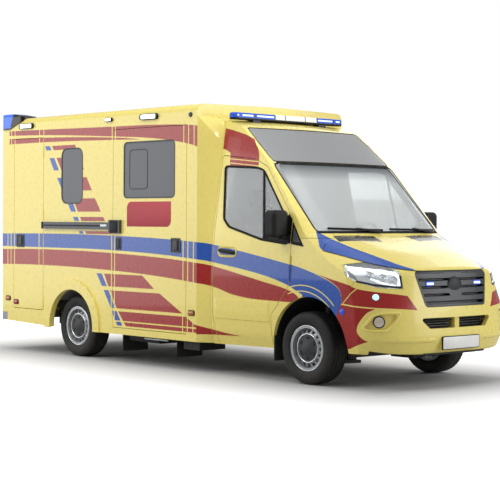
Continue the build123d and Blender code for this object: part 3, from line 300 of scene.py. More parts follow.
def spaced(path: Array, step: float, closed: bool = False) -> Array:
    """A path's points again, an even step apart; a closed path doesn't repeat its first one."""
    whole = np.vstack([path, path[:1]]) if closed else path
    along = np.concatenate([[0.0], np.cumsum(np.linalg.norm(np.diff(whole, axis=0), axis=1))])
    count = max(3, int(along[-1] / step))
    at = np.linspace(0, along[-1], count + 1)[: count if closed else None]
    return np.stack([np.interp(at, along, column) for column in whole.T], -1)


def loop(size: Sequence[float], radius: float, middle: object) -> Array:
    """Evenly spaced outline of a rounded window about its middle."""
    return spaced(rounded(*size, radius, 8) + np.asarray(middle), 0.03, True)


def bead(width: float, height: float, lift: float = 0.0, across: float = 0.0) -> Array:
    """Oval section of a bead of a width and a height, moved up and across."""
    cos, sin = circle(10)
    return np.stack([width / 2 * cos, height / 2 * sin], -1) + [across, lift]


class Skin:
    """Outer surface of CAD nodes, read along one axis as a reach over the other two coordinates."""

    MARGIN = 0.03
    SLOPE_STEP = 0.006
    STEEPEST = 2.5
    FLATTEST = 1e-10
    SLACK = 1e-6
    CHUNK = 200

    def __init__(self, nodes: Sequence[str], axis: int, sign: float = 1.0) -> None:
        """Collects the nodes' triangles.

        Args:
            nodes: Names of the CAD nodes.
            axis: The axis along which the surface is read, 0 to 2.
            sign: Which end of the axis is outside.
        """
        self.axis, self.sign = axis, sign
        self.flat = [i for i in range(3) if i != axis]
        corners = np.concatenate([self.triangles(name) for name in nodes])
        self.corners = corners[:, :, self.flat]
        self.reaches = corners[:, :, axis] * sign

    @staticmethod
    def triangles(name: str) -> Array:
        """Corner points of a CAD node's triangles."""
        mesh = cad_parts[name].data
        mesh.calc_loop_triangles()
        points = np.empty(len(mesh.vertices) * 3, np.float32)
        mesh.vertices.foreach_get("co", points)
        index = np.empty(len(mesh.loop_triangles) * 3, np.int32)
        mesh.loop_triangles.foreach_get("vertices", index)
        return points.reshape(-1, 3).astype(float)[index].reshape(-1, 3, 3)

    def reach(self, flat: Array) -> Array:
        """Outermost reach over flat points, by barycentric weights of every triangle near them.

        Args:
            flat: Points in the two other coordinates.

        Returns:
            The reach of each point; one beyond the surface takes its neighbour's.
        """
        asked = flat.reshape(-1, 2)
        near = np.all(self.corners.max(1) > asked.min(0) - self.MARGIN, axis=1)
        near &= np.all(self.corners.min(1) < asked.max(0) + self.MARGIN, axis=1)
        a, b, c = (self.corners[near, i] for i in range(3))
        ra, rb, rc = (self.reaches[near, i] for i in range(3))
        first, second = b - a, c - a
        area = first[:, 0] * second[:, 1] - first[:, 1] * second[:, 0]
        broad = np.abs(area) > self.FLATTEST
        a, first, second, area, ra, rb, rc = (v[broad] for v in (a, first, second, area, ra, rb, rc))
        found = []
        for some in np.array_split(asked, max(1, len(asked) // self.CHUNK)):
            away = some[:, None] - a[None]
            u = (away[..., 0] * second[:, 1] - away[..., 1] * second[:, 0]) / area
            v = (first[:, 0] * away[..., 1] - first[:, 1] * away[..., 0]) / area
            inside = (u >= -self.SLACK) & (v >= -self.SLACK) & (u + v <= 1 + self.SLACK)
            found.append(np.where(inside, ra + u * (rb - ra) + v * (rc - ra), -np.inf).max(1))
        reach = np.concatenate(found)
        good = np.isfinite(reach)
        order = np.arange(len(reach))
        return np.interp(order, order[good], reach[good]).reshape(flat.shape[:-1])

    def place(self, flat: Array, height: Array = 0.0) -> Array:
        """Points over the surface, lifted along its normal, which comes from the reach's slopes.

        Args:
            flat: Points in the two other coordinates.
            height: How far off the surface each one is.

        Returns:
            Points in the frame.
        """
        step = np.eye(2) * self.SLOPE_STEP
        slopes = [(self.reach(flat + s) - self.reach(flat - s)) / (2 * self.SLOPE_STEP) for s in step]
        slopes = np.clip(np.stack(slopes, -1), -self.STEEPEST, self.STEEPEST)
        points, normals = np.empty(flat.shape[:-1] + (3,)), np.empty(flat.shape[:-1] + (3,))
        points[..., self.flat], normals[..., self.flat] = flat, -slopes
        points[..., self.axis], normals[..., self.axis] = self.sign * self.reach(flat), self.sign
        normals = normals / np.linalg.norm(normals, axis=-1, keepdims=True)
        return points + np.asarray(height, float)[..., None] * normals


# Finishes


class Value:
    """A shader socket with the sums, comparisons and masks that the finishes use."""

    def __init__(self, graph: "Graph", socket: bpy.types.NodeSocket) -> None:
        """Keeps the socket and the graph that it belongs to."""
        self.graph, self.socket = graph, socket

    def math(self, operation: str, *others: object) -> "Value":
        """Result of a Math node on this value and up to two others."""
        return self.graph.math(operation, self, *others)

    __add__ = functools.partialmethod(math, "ADD")
    __sub__ = functools.partialmethod(math, "SUBTRACT")
    __mul__ = __and__ = functools.partialmethod(math, "MULTIPLY")
    __or__ = most = functools.partialmethod(math, "MAXIMUM")
    __gt__ = functools.partialmethod(math, "GREATER_THAN")
    __lt__ = functools.partialmethod(math, "LESS_THAN")
    __pow__ = functools.partialmethod(math, "POWER")
    least = functools.partialmethod(math, "MINIMUM")
    near = functools.partialmethod(math, "COMPARE")
    line = functools.partialmethod(math, "MULTIPLY_ADD")

    def __invert__(self) -> "Value":
        """Mask of where this mask doesn't hold."""
        return self.graph.math("SUBTRACT", 1.0, self)

    def between(self, low: object, high: object) -> "Value":
        """Mask of where the value lies between two others."""
        return (self > low) & (self < high)


def any_of(masks: Iterable[Value]) -> Value:
    """Mask of where some mask holds."""
    return functools.reduce(operator.or_, masks)


class Graph:
    """Shader graph of a material or a world, with short calls for the nodes that the finishes use."""

    def __init__(self, owner: bpy.types.ID, shader: str = "BsdfPrincipled",
                 output: str = "OutputMaterial") -> None:
        """Starts the owner's node tree with one shader.

        Args:
            owner: The material or world.
            shader: Kind of the shader node.
            output: Kind of the output node.
        """
        owner.use_nodes = True
        self.owner, self.tree = owner, owner.node_tree
        self.tree.nodes.clear()
        self.shader = self.tree.nodes.new(f"ShaderNode{shader}")
        self.tree.links.new(self.shader.outputs[0], self.tree.nodes.new(f"ShaderNode{output}").inputs[0])

    def feed(self, socket: bpy.types.NodeSocket, value: object) -> None:
        """Links a value into a socket, or sets a plain one on it."""
        if isinstance(value, Value):
            self.tree.links.new(value.socket, socket)
        else:
            socket.default_value = value

    def set(self, **values: object) -> None:
        """Feeds the shader's sockets, named with underscores for spaces."""
        for name, value in values.items():
            self.feed(self.shader.inputs[name.replace("_", " ")], value)

    def add(self, kind: str, inputs: dict, output: object = 0, **settings: object) -> Value:
        """Makes a node.

        Args:
            kind: The node's kind.
            inputs: What its inputs are fed, by name or number.
            output: Name or number of the output that is asked for.
            settings: The node's own settings.

        Returns:
            The output's value.
        """
        node = self.tree.nodes.new(f"ShaderNode{kind}")
        for name, value in settings.items():
            setattr(node, name, value)
        for name, value in inputs.items():
            self.feed(node.inputs[name], value)
        return Value(self, node.outputs[output])

    def math(self, operation: str, *values: object) -> Value:
        """Result of a Math node on up to three values."""
        return self.add("Math", dict(enumerate(values)), operation=operation)

    def axes(self, coordinates: str) -> tuple[Value, ...]:
        """The three parts of one of the texture coordinates."""
        vector = self.add("TexCoord", {}, coordinates)
        return tuple(self.add("SeparateXYZ", {0: vector}, i) for i in range(3))

    @functools.cached_property
    def spot(self) -> tuple[Value, ...]:
        """The Object coordinates."""
        return self.axes("Object")

    @functools.cached_property
    def normal(self) -> tuple[Value, ...]:
        """The surface's normal."""
        return self.axes("Normal")

    @functools.cached_property
    def wide(self) -> Value:
        """Distance from the middle plane."""
        return self.spot[1].math("ABSOLUTE")

    def curve(self, value: Value, table: Array, smooth: bool = True) -> Value:
        """A table's second column as a curve over its first, read at a value.

        Args:
            value: The place along the first column.
            table: Rows of place and result.
            smooth: Whether the curve is rounded at its points.

        Returns:
            The result, level beyond the table's ends.
        """
        table = np.asarray(table, float)
        table = table[np.argsort(table[:, 0], kind="stable")]
        low, span = table.min(0), np.maximum(np.ptp(table, axis=0), 1e-6)
        node = self.tree.nodes.new("ShaderNodeFloatCurve")
        node.mapping.extend = "HORIZONTAL"
        points = node.mapping.curves[0].points
        scaled = (table - low) / span
        points[0].location, points[1].location = scaled[0], scaled[-1]
        for x, y in scaled[1:-1]:
            points.new(x, y)
        for point in points:
            point.handle_type = "AUTO" if smooth else "VECTOR"
        node.mapping.update()
        self.feed(node.inputs["Value"], value.line(1 / span[0], -low[0] / span[0]))
        return Value(self, node.outputs[0]).line(span[1], low[1])

    def noise(self, scale: float, detail: float = 3.0, stretch: Sequence[float] = (1, 1, 1)) -> Value:
        """Noise about a half on Object coordinates: grains a metre, octaves, and scale along each axis."""
        vector = self.add("Mapping", {"Vector": self.add("TexCoord", {}, "Object"), "Scale": stretch})
        return self.add("TexNoise", {"Vector": vector, "Scale": scale, "Detail": detail})

    def mix(self, factor: object, first: object, second: object) -> Value:
        """Colour between two colours."""
        return self.add("Mix", {"Factor": factor, 6: first, 7: second}, 2, data_type="RGBA")


def paint(code: str, gain: float = 1.0) -> tuple:
    """Linear colour of a six-digit sRGB code, with a gain on its brightness."""
    srgb = [int(code[i : i + 2], 16) / 255 for i in (0, 2, 4)]
    linear = [c / 12.92 if c <= 0.04045 else ((c + 0.055) / 1.055) ** 2.4 for c in srgb]
    return tuple(min(1.0, c * gain) for c in linear) + (1.0,)


class Grain(enum.Enum):
    """Surface grain of a finish: grains a metre, bump strength, bump distance and stretch along the axes."""

    PEEL = (260.0, 0.012, 0.0005, (1, 1, 1))
    MOULDED = (900.0, 0.25, 0.0005, (1, 1, 1))
    CAST = (180.0, 0.35, 0.0015, (1, 1, 1))
    BRUSHED = (300.0, 0.10, 0.0004, (0.03, 1, 1))
    RUBBER = (420.0, 0.22, 0.0006, (1, 1, 1))
    POLISHED = (60.0, 0.01, 0.0002, (1, 1, 1))


@dataclass(frozen=True)
class Finish:
    """A procedural finish with its grain, mottled colour, uneven gloss and a slot name for it."""

    name: str
    colour: str
    roughness: float
    grain: Grain = Grain.MOULDED
    metallic: float = 0.0
    coat: float = 0.0
    transmission: float = 0.0
    ior: float = 1.45
    specular: float = 0.5
    glow: float = 0.0
    mottle: float = 0.08
    dust: float = 0.0
    slot: str = "trim_black"

    def tint(self, graph: Graph) -> Value:
        """The base colour, mottled by a broad noise and dusted towards the ground."""
        shades = (paint(self.colour, 1 + sign * self.mottle) for sign in (-1, 1))
        shade = graph.mix(graph.noise(MOTTLE_GRAIN), *shades)
        if not self.dust:
            return shade
        film = graph.spot[2].line(-DUST_FALL, 1.0).most(0.0) * graph.noise(DUST_GRAIN)
        return graph.mix(film * self.dust, shade, DUST)

    def dress(self, graph: Graph) -> None:
        """Feeds the shader: colour, gloss with faint streaks, bump, and any clearness or glow."""
        colour = self.tint(graph)
        spread = GLOSS_SPREAD * self.roughness
        uneven = graph.noise(GLOSS_GRAIN, 4.0).line(spread, self.roughness - spread / 2)
        graph.set(Base_Color=colour, Roughness=uneven.most(0.02), Metallic=self.metallic, IOR=self.ior)
        graph.set(Coat_Weight=self.coat, Coat_Roughness=0.03, Transmission_Weight=self.transmission)
        graph.set(Specular_IOR_Level=self.specular)
        scale, strength, distance, stretch = self.grain.value
        rise = {"Strength": strength, "Distance": distance, "Height": graph.noise(scale, 2.0, stretch)}
        graph.set(Normal=graph.add("Bump", rise))
        if self.glow:
            graph.set(Emission_Color=colour, Emission_Strength=self.glow)


@functools.lru_cache(maxsize=None)
def material_of(finish: Finish) -> bpy.types.Material:
    """The Blender material of a finish, made once."""
    graph = Graph(bpy.data.materials.new(finish.name))
    finish.dress(graph)
    return graph.owner


MOTTLE_GRAIN, DUST_GRAIN, GLOSS_GRAIN = 7.0, 24.0, 19.0
DUST_FALL = 1.6
GLOSS_SPREAD = 0.3
DUST = paint("8C857A")
RED = paint("A01812")
BLUE = paint("1E52AC")
INLAY_GREY = paint("343537")
DARK = paint("101113")
LINING = paint("606468")
CEILING = paint("B4B7B8")
VISOR_GREY = paint("8E8F90")
WHITE = paint("F1F4F6")
SHADE = paint("7B8388")

# Bands along the sides: (ahead, height) of the upper and of the lower edge
BLUE_BAND = (
    ((-5085, 1371), (-4223, 1379), (-2966, 1371), (-1522, 1322), (-1329, 1300), (-982, 1251), (-213, 1129)),
    ((-5085, 1221), (-4223, 1220), (-2966, 1213), (-1522, 1147), (-1329, 1123), (-631, 1025), (-224, 928),
     (-40, 850)),
)
RED_BAND = (
    ((-5085, 1185), (-4222, 1198), (-2964, 1182), (-1520, 1111), (-1319, 1083), (-601, 957), (-258, 893),
     (-90, 826)),
    ((-5085, 1007), (-4222, 1016), (-2964, 993), (-1520, 907), (-1319, 877), (-700, 778), (-486, 773),
     (-300, 771)),
)
HIGH_BAND = (
    ((-4948, 2583), (-4233, 2574), (-2940, 2553), (-2280, 2543), (-1708, 2520), (-1503, 2501)),
    ((-4948, 2528), (-4233, 2510), (-2940, 2446), (-2280, 2405), (-1708, 2334), (-1503, 2287)),
)
THIN_BAND = (
    ((-4947, 2493), (-4232, 2482), (-2939, 2435), (-2421, 2395)),
    ((-4947, 2428), (-4232, 2428), (-2939, 2408), (-2421, 2395)),
)
WEDGE = (((-1545, 486), (-1213, 429), (-884, 400)), ((-1545, 384), (-1213, 394), (-884, 400)))
PATCH = (
    ((-1330, 2478), (-1100, 2425), (-930, 2368), (-870, 2320), (-815, 2262), (-785, 2200), (-775, 2112)),
    ((-1330, 2270), (-1212, 2219), (-1200, 2100), (-775, 2085)),
)

# Slanted blocks: (height, ahead) of their edges, and (middle, half height) of the rows they are cut into
UPPER_EDGES = (
    ((2382, -4212), (2099, -4028), (1717, -3752), (1388, -3529)),
    ((2382, -4111), (2099, -3930), (1717, -3646), (1388, -3453)),
    ((2382, -4071), (2241, -3981), (1778, -3660), (1571, -3521), (1388, -3407)),
    ((2382, -3623), (2015, -3401), (1778, -3242), (1528, -3057), (1388, -2934)),
)
UPPER_ROWS = ((2356, 25), (2171, 72), (1940, 74), (1704, 74), (1549, 23), (1400, 16))
LOWER_EDGES = (
    ((955, -3208), (816, -3106), (594, -2950), (456, -2871), (398, -2826)),
    ((955, -3112), (819, -3017), (596, -2870), (461, -2774), (398, -2736)),
    ((955, -3070), (813, -2988), (583, -2839), (453, -2726), (398, -2673)),
    ((955, -2400), (939, -2375), (819, -2197), (775, -2105), (585, -1730), (486, -1545), (429, -1213),
     (398, -884)),
)
LOWER_ROWS = ((885, 68), (680, 95), (504, 50), (420, 20))
SEAM_LINES = (-4973, -4905, -4830, -4322, -4236, -2936, -2880, -1726, -1650, -1562)

# Wing as (ahead, height), with the two rings round its arch and the yellow lines across the stripes
DRIP_LINE = ((-1334, 2175), (-790, 2125), (-674, 2117))
DRIP_STEPS = (0.0, 0.042)
WING_TOP = ((-230, 1135), (49, 1073), (205, 1026), (373, 961), (445, 912), (471, 857), (478, 790), (482, 600))
WING_RED_TOP = ((83, 1067), (272, 1023), (404, 995), (553, 963), (660, 925))
WING_LOW = ((-230, 930), (-130, 888), (-40, 850), (-10, 760), (40, 300))
WING_JOINT = ((493, 790), (637, 928))
RING_MIDDLE = (-40, 345)
RING_RADII = (0.537, 0.592)
SEAM_HALF, DRIP_HALF, RING_HALF, JOINT_HALF = 0.0065, 0.004, 0.005, 0.006
STRIPE_GAP = 0.006
EDGE_SLACK = 1e-4

# Bonnet's stripe as (ahead, half width) and its inlay; cowl as (half width, ahead); the greys beside visor
# and screen as (height, half width)
STRIPE_EDGE = ((20, 850), (414, 710), (661, 621), (802, 559), (892, 494), (930, 460))
STRIPE_FOOT = 1.06
INLAY_REAR, INLAY_FRONT = (-0.056, FRONT_AXLE_X + 0.154), (-0.1855, FRONT_AXLE_X + 0.362)
INLAY_ENDS = (0.235, 0.765)
INLAY_MIDDLE, INLAY_LEAN = FRONT_AXLE_X + 0.2, 0.25
COWL_EDGE = ((850, -21), (905, 64), (962, 152), (968, 240), (975, 420))
COWL_FRONT = FRONT_AXLE_X + 0.23
COWL_HEIGHTS = (1.275, 1.46)
VISOR_EDGE = ((2122, 832), (2301, 818), (2474, 788))
SCREEN_EDGE = ((1437, 870), (1763, 862), (2110, 848))
LINING_FOOT, CEILING_FOOT = 0.75, 1.95
BULKHEAD_WIDE, BULKHEAD_HEAD = 0.86, 2.30

# Bumper: (ahead, height) of the split and of the band's head, (height, half width) of the band's inner end,
# and (height, ahead) of the patch's and of the blue's front ends
SPLIT_LINE = ((483, 783), (653, 768), (821, 755), (925, 746), (988, 727))
BAND_TOP = ((600, 945), (640, 929), (783, 903), (880, 886), (940, 867))
BAND_INNER = ((733, 526), (792, 567), (867, 615), (900, 640))
PATCH_EDGE = ((375, 556), (454, 760), (470, 725), (492, 699), (515, 678), (537, 666), (560, 664), (589, 669),
              (625, 686), (660, 709), (690, 731), (717, 755), (752, 813))
BLUE_END = ((640, 400), (715, 434), (792, 475), (820, 480))
PATCH_FOOT, BLUE_FOOT = 0.375, 0.64

# Least slopes of the normal that count as facing out, in, ahead, up and down
FACES_OUT, FACES_IN, FACES_AHEAD, FACES_UP, FACES_DOWN = 0.12, -0.15, 0.25, 0.3, -0.5


class Zone(enum.Enum):
    """Region of the body that a livery covers, named as the method that marks it."""

    BOX = "box"
    CAB = "cab"
    BONNET = "bonnet"
    BUMPER = "bumper"
    BULKHEAD = "bulkhead"


@dataclass(frozen=True)
class Livery(Finish):
    """Body paint with the stripes of one zone, laid on by masks over Object coordinates."""

    zone: Zone = Zone.BOX

    def tint(self, graph: Graph) -> Value:
        """The paint's colour with the zone's stripes over it."""
        makers = {Zone.BOX: self.box, Zone.CAB: self.cab, Zone.BONNET: self.bonnet, Zone.BUMPER: self.bumper,
                  Zone.BULKHEAD: self.bulkhead}
        colour = super().tint(graph)
        for mask, film in makers[self.zone](graph):
            colour = graph.mix(mask, colour, film)
        return colour

    @staticmethod
    def outside(graph: Graph) -> Value:
        """Mask of what faces away from the middle plane."""
        return graph.normal[1] * graph.spot[1] > FACES_OUT

    @staticmethod
    def band(graph: Graph, top: Pairs, low: Pairs) -> Value:
        """Mask between two edges that are curves over x, within the upper edge's length."""
        x, _, z = graph.spot
        top, low = ahead(top), ahead(low)
        ends = top[:, 0].min() - EDGE_SLACK, top[:, 0].max() + EDGE_SLACK
        return z.between(graph.curve(x, low), graph.curve(x, top)) & x.between(*ends)

    @staticmethod
    def off_joint(graph: Graph) -> Value:
        """Mask of what is clear of the joint between wing and bumper, a slanted line over x."""
        x, _, z = graph.spot
        ends = ahead(WING_JOINT)
        return ~(z.near(graph.curve(x, ends, False), JOINT_HALF) & x.between(*ends[:, 0]))

    def box(self, graph: Graph) -> list:
        """Stripes of the box: four bands and two groups of slanted blocks, parted at the seams."""
        x, _, z = graph.spot
        skin = self.outside(graph) & ~any_of(x.near(FRONT_AXLE_X + s * MM, SEAM_HALF) for s in SEAM_LINES)
        red = [self.band(graph, *edges) for edges in (RED_BAND, HIGH_BAND, THIN_BAND)]
        blue = [self.band(graph, *BLUE_BAND)]
        for edges, rows in ((UPPER_EDGES, UPPER_ROWS), (LOWER_EDGES, LOWER_ROWS)):
            level = any_of(z.near(middle * MM, half * MM) for middle, half in rows)
            curves = [graph.curve(z, upright(edge), False) for edge in edges]
            blue.append(x.between(*curves[:2]) & level)
            red.append(x.between(*curves[2:]) & level)
        return [(any_of(red) & skin, RED), (any_of(blue) & skin, BLUE)]

    def cab(self, graph: Graph) -> list:
        """Stripes of the cab's flank: bands, low wedge, roof patch, and the wing with its lines."""
        x, _, z = graph.spot
        wing, red_top, middle = ahead(WING_TOP), ahead(WING_RED_TOP), ahead([RING_MIDDLE])[0]
        over = graph.curve(x, wing)
        on_wing = x.between(wing[0, 0], wing[-1, 0])
        wing_blue = z.between(graph.curve(x, ahead(WING_LOW), False), over) & on_wing
        wing_red = z.between(over + STRIPE_GAP, graph.curve(x, red_top)) & (x > red_top[0, 0])
        radius = ((x - middle[0]) ** 2.0 + (z - middle[1]) ** 2.0).math("SQRT")
        rings = any_of(radius.near(r, RING_HALF) for r in RING_RADII)
        clear = self.outside(graph) & ~(rings & on_wing)
        drip = graph.curve(x, ahead(DRIP_LINE), False)
        patch = self.band(graph, *PATCH) & ~any_of((drip - step).near(z, DRIP_HALF) for step in DRIP_STEPS)
        red = self.band(graph, *RED_BAND) | self.band(graph, *WEDGE) | patch
        red = red | wing_red & self.off_joint(graph)
        blue = self.band(graph, *BLUE_BAND) | wing_blue
        return [(red & clear, RED), (blue & clear, BLUE)] + self.cab_top(graph)

    def cab_top(self, graph: Graph) -> list:
        """Bonnet stripe where it runs on over the cowl, the grey beside the glass, and the lining inside."""
        x, y, z = graph.spot
        forward, across, level = graph.normal
        rear = graph.curve(graph.wide, upright(COWL_EDGE), False)
        cowl = (level > FACES_UP) & x.between(rear, COWL_FRONT) & z.between(*COWL_HEIGHTS)
        stripes = [(mask & cowl, film) for mask, film in self.bonnet(graph)]
        greys = []
        for table in np.array((VISOR_EDGE, SCREEN_EDGE)) * MM:
            beside = graph.wide < graph.curve(z, table, False)
            greys.append((forward > FACES_AHEAD) & z.between(table[0, 0], table[-1, 0]) & beside)
        inward = (across * y < FACES_IN) & (z > LINING_FOOT)
        under = (level < FACES_DOWN) & (z > CEILING_FOOT)
        return stripes + [(any_of(greys), VISOR_GREY), (inward, LINING), (under, CEILING)]

    def bulkhead(self, graph: Graph) -> list:
        """Pale lining where the box's front wall closes the cab."""
        return [((graph.wide < BULKHEAD_WIDE) & (graph.spot[2] < BULKHEAD_HEAD), CEILING)]

    def bonnet(self, graph: Graph) -> list:
        """Blue stripe along each side of the bonnet and a grey inlay ahead of each half of the screen."""
        x, _, z = graph.spot
        stripe = (graph.wide > graph.curve(x, ahead(STRIPE_EDGE))) & (z > STRIPE_FOOT)
        lean = (x - INLAY_MIDDLE) * INLAY_LEAN
        inlay = x.between(graph.wide.line(*INLAY_REAR), graph.wide.line(*INLAY_FRONT))
        return [(stripe, BLUE), (inlay & (graph.wide - lean).between(*INLAY_ENDS), INLAY_GREY)]

    def bumper(self, graph: Graph) -> list:
        """Red band beside the grille, red patch ahead of the arch and the blue band's end."""
        x, _, z = graph.spot
        split = graph.curve(x, ahead(SPLIT_LINE))
        inner = graph.curve(z, np.array(BAND_INNER) * MM, False)
        band = (z > split + STRIPE_GAP) & (z < graph.curve(x, ahead(BAND_TOP))) & (graph.wide > inner)
        patch = (z < split - STRIPE_GAP) & (x < graph.curve(z, upright(PATCH_EDGE), False)) & (z > PATCH_FOOT)
        blue = (x < graph.curve(z, upright(BLUE_END))) & (z > BLUE_FOOT)
        return [((band | patch) & self.off_joint(graph), RED), (blue, BLUE)]


@dataclass(frozen=True)
class BarLens(Finish):
    """Light bar's housing: a dark foot, blue ends and a clear middle with dark dividers."""

    def tint(self, graph: Graph) -> Value:
        """The lens colour by place along and up the bar."""
        _, y, z = graph.spot
        dark = (z < BAR_FOOT_Z) | any_of(y.near(place, BAR_LINE) for place in BAR_DIVIDERS)
        return graph.mix(dark, graph.mix(y.between(*BAR_CLEAR), super().tint(graph), WHITE), DARK)


@dataclass(frozen=True)
class BeaconLens(Finish):
    """Corner beacon: a blue lens at the rear corner, and a dark housing ahead of a slanted edge."""

    def tint(self, graph: Graph) -> Value:
        """The lens colour, dark ahead of the slanted edge and along the foot."""
        x, _, z = graph.spot
        edge = z.line(BEACON_SLANT, BOX_REAR_X + BEACON_EDGE - BEACON_SLANT * BEACON_FOOT_Z)
        return graph.mix((x > edge) | (z < BEACON_FOOT_Z + BEACON_FOOT), super().tint(graph), DARK)


@dataclass(frozen=True)
class ScreenGlass(Finish):
    """Windscreen: partly clear, its pale opaque share a painted reflection of the bright studio, and greyer
    towards its head.
    """

    def tint(self, graph: Graph) -> Value:
        """The glass colour, graded over the height."""
        shade = graph.spot[2].line(1 / SHADE_DEPTH, 1.0 - SHADE_HEAD / SHADE_DEPTH)
        return graph.mix(shade.most(0.0).least(1.0), super().tint(graph), SHADE)


# Light bar: clear middle, dividers and foot; beacon: lens edge at the foot, its slant; screen: shaded head
BAR_CLEAR = (-0.228, 0.384)
BAR_DIVIDERS = (-0.510, -0.228, -0.080, 0.210, 0.384, 0.636)
BAR_LINE = 0.006
BAR_FOOT_Z = 2.590
BEACON_EDGE = 0.170
BEACON_SLANT = 0.40
BEACON_FOOT_Z = 2.600
BEACON_FOOT = 0.018
SHADE_HEAD = 2.11
SHADE_DEPTH = 0.16

BODY = dict(colour="F1DF78", roughness=0.28, grain=Grain.PEEL, mottle=0.015, slot="body_yellow")
PAINT = Finish("body_paint", coat=0.25, **BODY)
BOX_LIVERY = Livery("box_livery", coat=0.25, zone=Zone.BOX, **BODY)
CAB_LIVERY = Livery("cab_livery", coat=0.25, zone=Zone.CAB, **BODY)
BONNET_LIVERY = Livery("bonnet_livery", coat=0.25, zone=Zone.BONNET, **BODY)
BULKHEAD_LIVERY = Livery("bulkhead_livery", zone=Zone.BULKHEAD, **BODY)
BUMPER_LIVERY = Livery("bumper_livery", coat=0.25, zone=Zone.BUMPER, **BODY)
SIGN_FILM = Finish("sign_film", "BC5058", 0.6, Grain.PEEL, specular=0.3, mottle=0.02, slot="body_yellow")
# Windscreen: the pale base colour beside the partial transmission is a painted reflection of the white studio
# and of the lit cab.
SCREEN_PAINTED_REFLECTION = ScreenGlass("screen_glass", "EDF1F1", 0.03, Grain.POLISHED, transmission=0.56, mottle=0.01)
PANE = Finish("door_glass", "E4E8E9", 0.04, Grain.POLISHED, transmission=0.8, mottle=0.02)
DARK_PANE = Finish("dark_glass", "606268", 0.25, Grain.POLISHED, specular=0.35, mottle=0.03)
VISOR = Finish("visor_paint", "8E8F90", 0.3, Grain.PEEL, coat=0.5, mottle=0.03)
TRIM = Finish("trim_plastic", "1B1C1E", 0.55, specular=0.3, dust=0.2)
SEAL = Finish("seal_rubber", "121213", 0.55, Grain.RUBBER, specular=0.25)
GLOSS_BLACK = Finish("grille_plastic", "303236", 0.32, Grain.POLISHED, specular=0.4)
SAIL_GREY = Finish("sail_plastic", "54575B", 0.45, specular=0.3)
CAP_GREY = Finish("cap_plastic", "3C3E41", 0.5, specular=0.35)
RIM_GREY = Finish("window_rim", "4B4D50", 0.5, Grain.RUBBER)
CLEAR_LAMP = dict(grain=Grain.POLISHED, slot="lamp_clear")
LENS = Finish("lamp_lens", "E6EAEC", 0.06, transmission=0.78, ior=1.2, mottle=0.01, **CLEAR_LAMP)
REFLECTOR = Finish("lamp_reflector", "E6E8EA", 0.12, metallic=1.0, **CLEAR_LAMP)
CYAN_LIT = Finish("lamp_cyan", "9FE6F2", 0.2, glow=1.3, mottle=0.01, **CLEAR_LAMP)
LAMP_LIT = Finish("lamp_lit", "F2F8FF", 0.2, glow=1.6, mottle=0.01, **CLEAR_LAMP)
FOG_BOWL = Finish("fog_bowl", "EADFCC", 0.2, metallic=0.85, **CLEAR_LAMP)
PLATE_WHITE = Finish("blank_plate", "E9E9E6", 0.35, Grain.PEEL, slot="lamp_clear")
BLUE_LAMP = dict(grain=Grain.POLISHED, slot="lamp_blue")
BLUE_LENS = Finish("blue_lens", "2A55C8", 0.15, coat=0.3, glow=0.25, **BLUE_LAMP)
BAR_LENS = BarLens("bar_lens", "2A55C8", 0.25, specular=0.3, glow=0.15, **BLUE_LAMP)
BEACON_LENS = BeaconLens("beacon_lens", "4472E0", 0.2, specular=0.4, glow=0.2, **BLUE_LAMP)
BLUE_LIT = Finish("blue_lit", "B8CCFF", 0.2, glow=1.4, mottle=0.01, **BLUE_LAMP)
RED_LAMP = dict(grain=Grain.POLISHED, slot="lamp_red")
RED_LENS = Finish("red_lens", "A81820", 0.15, coat=0.6, **RED_LAMP)
AMBER_LENS = Finish("amber_lens", "B06A1E", 0.18, coat=0.6, **RED_LAMP)
LAMP_WHITE = Finish("lamp_white", "F4F6F8", 0.2, glow=0.5, mottle=0.01, **RED_LAMP)
ALUMINIUM = Finish("rail_aluminium", "54575A", 0.42, Grain.BRUSHED, metallic=0.6)
STEEL = dict(grain=Grain.BRUSHED, slot="step_steel")
BRIGHT_METAL = Finish("slider_metal", "B4B7B9", 0.35, metallic=0.8, **STEEL)
STEP_PLATE = Finish("step_plate", "8F9396", 0.42, metallic=0.85, dust=0.4, **STEEL)
WHEEL_PAINT = Finish("wheel_paint", "AAADB0", 0.38, Grain.PEEL, metallic=0.4, coat=0.2)
CHROME = Finish("bright_ring", "D9DBDD", 0.12, Grain.POLISHED, metallic=1.0, slot="wheel_silver")
TYRE = Finish("tyre_rubber", "161617", 0.66, Grain.RUBBER, dust=0.14, slot="tyre_rubber")
CHASSIS = Finish("chassis_paint", "1C1D1F", 0.5, Grain.CAST, dust=0.6)
CAST = Finish("cast_metal", "5A5D60", 0.55, Grain.CAST, metallic=0.5, dust=0.5)
PIPE = Finish("exhaust_steel", "9A9C9E", 0.35, Grain.BRUSHED, metallic=1.0, dust=0.4)
FLOORING = Finish("box_flooring", "6E7276", 0.6)
FABRIC = Finish("seat_cloth", "3A3D42", 0.85, Grain.RUBBER, mottle=0.2, slot="seat_fabric")


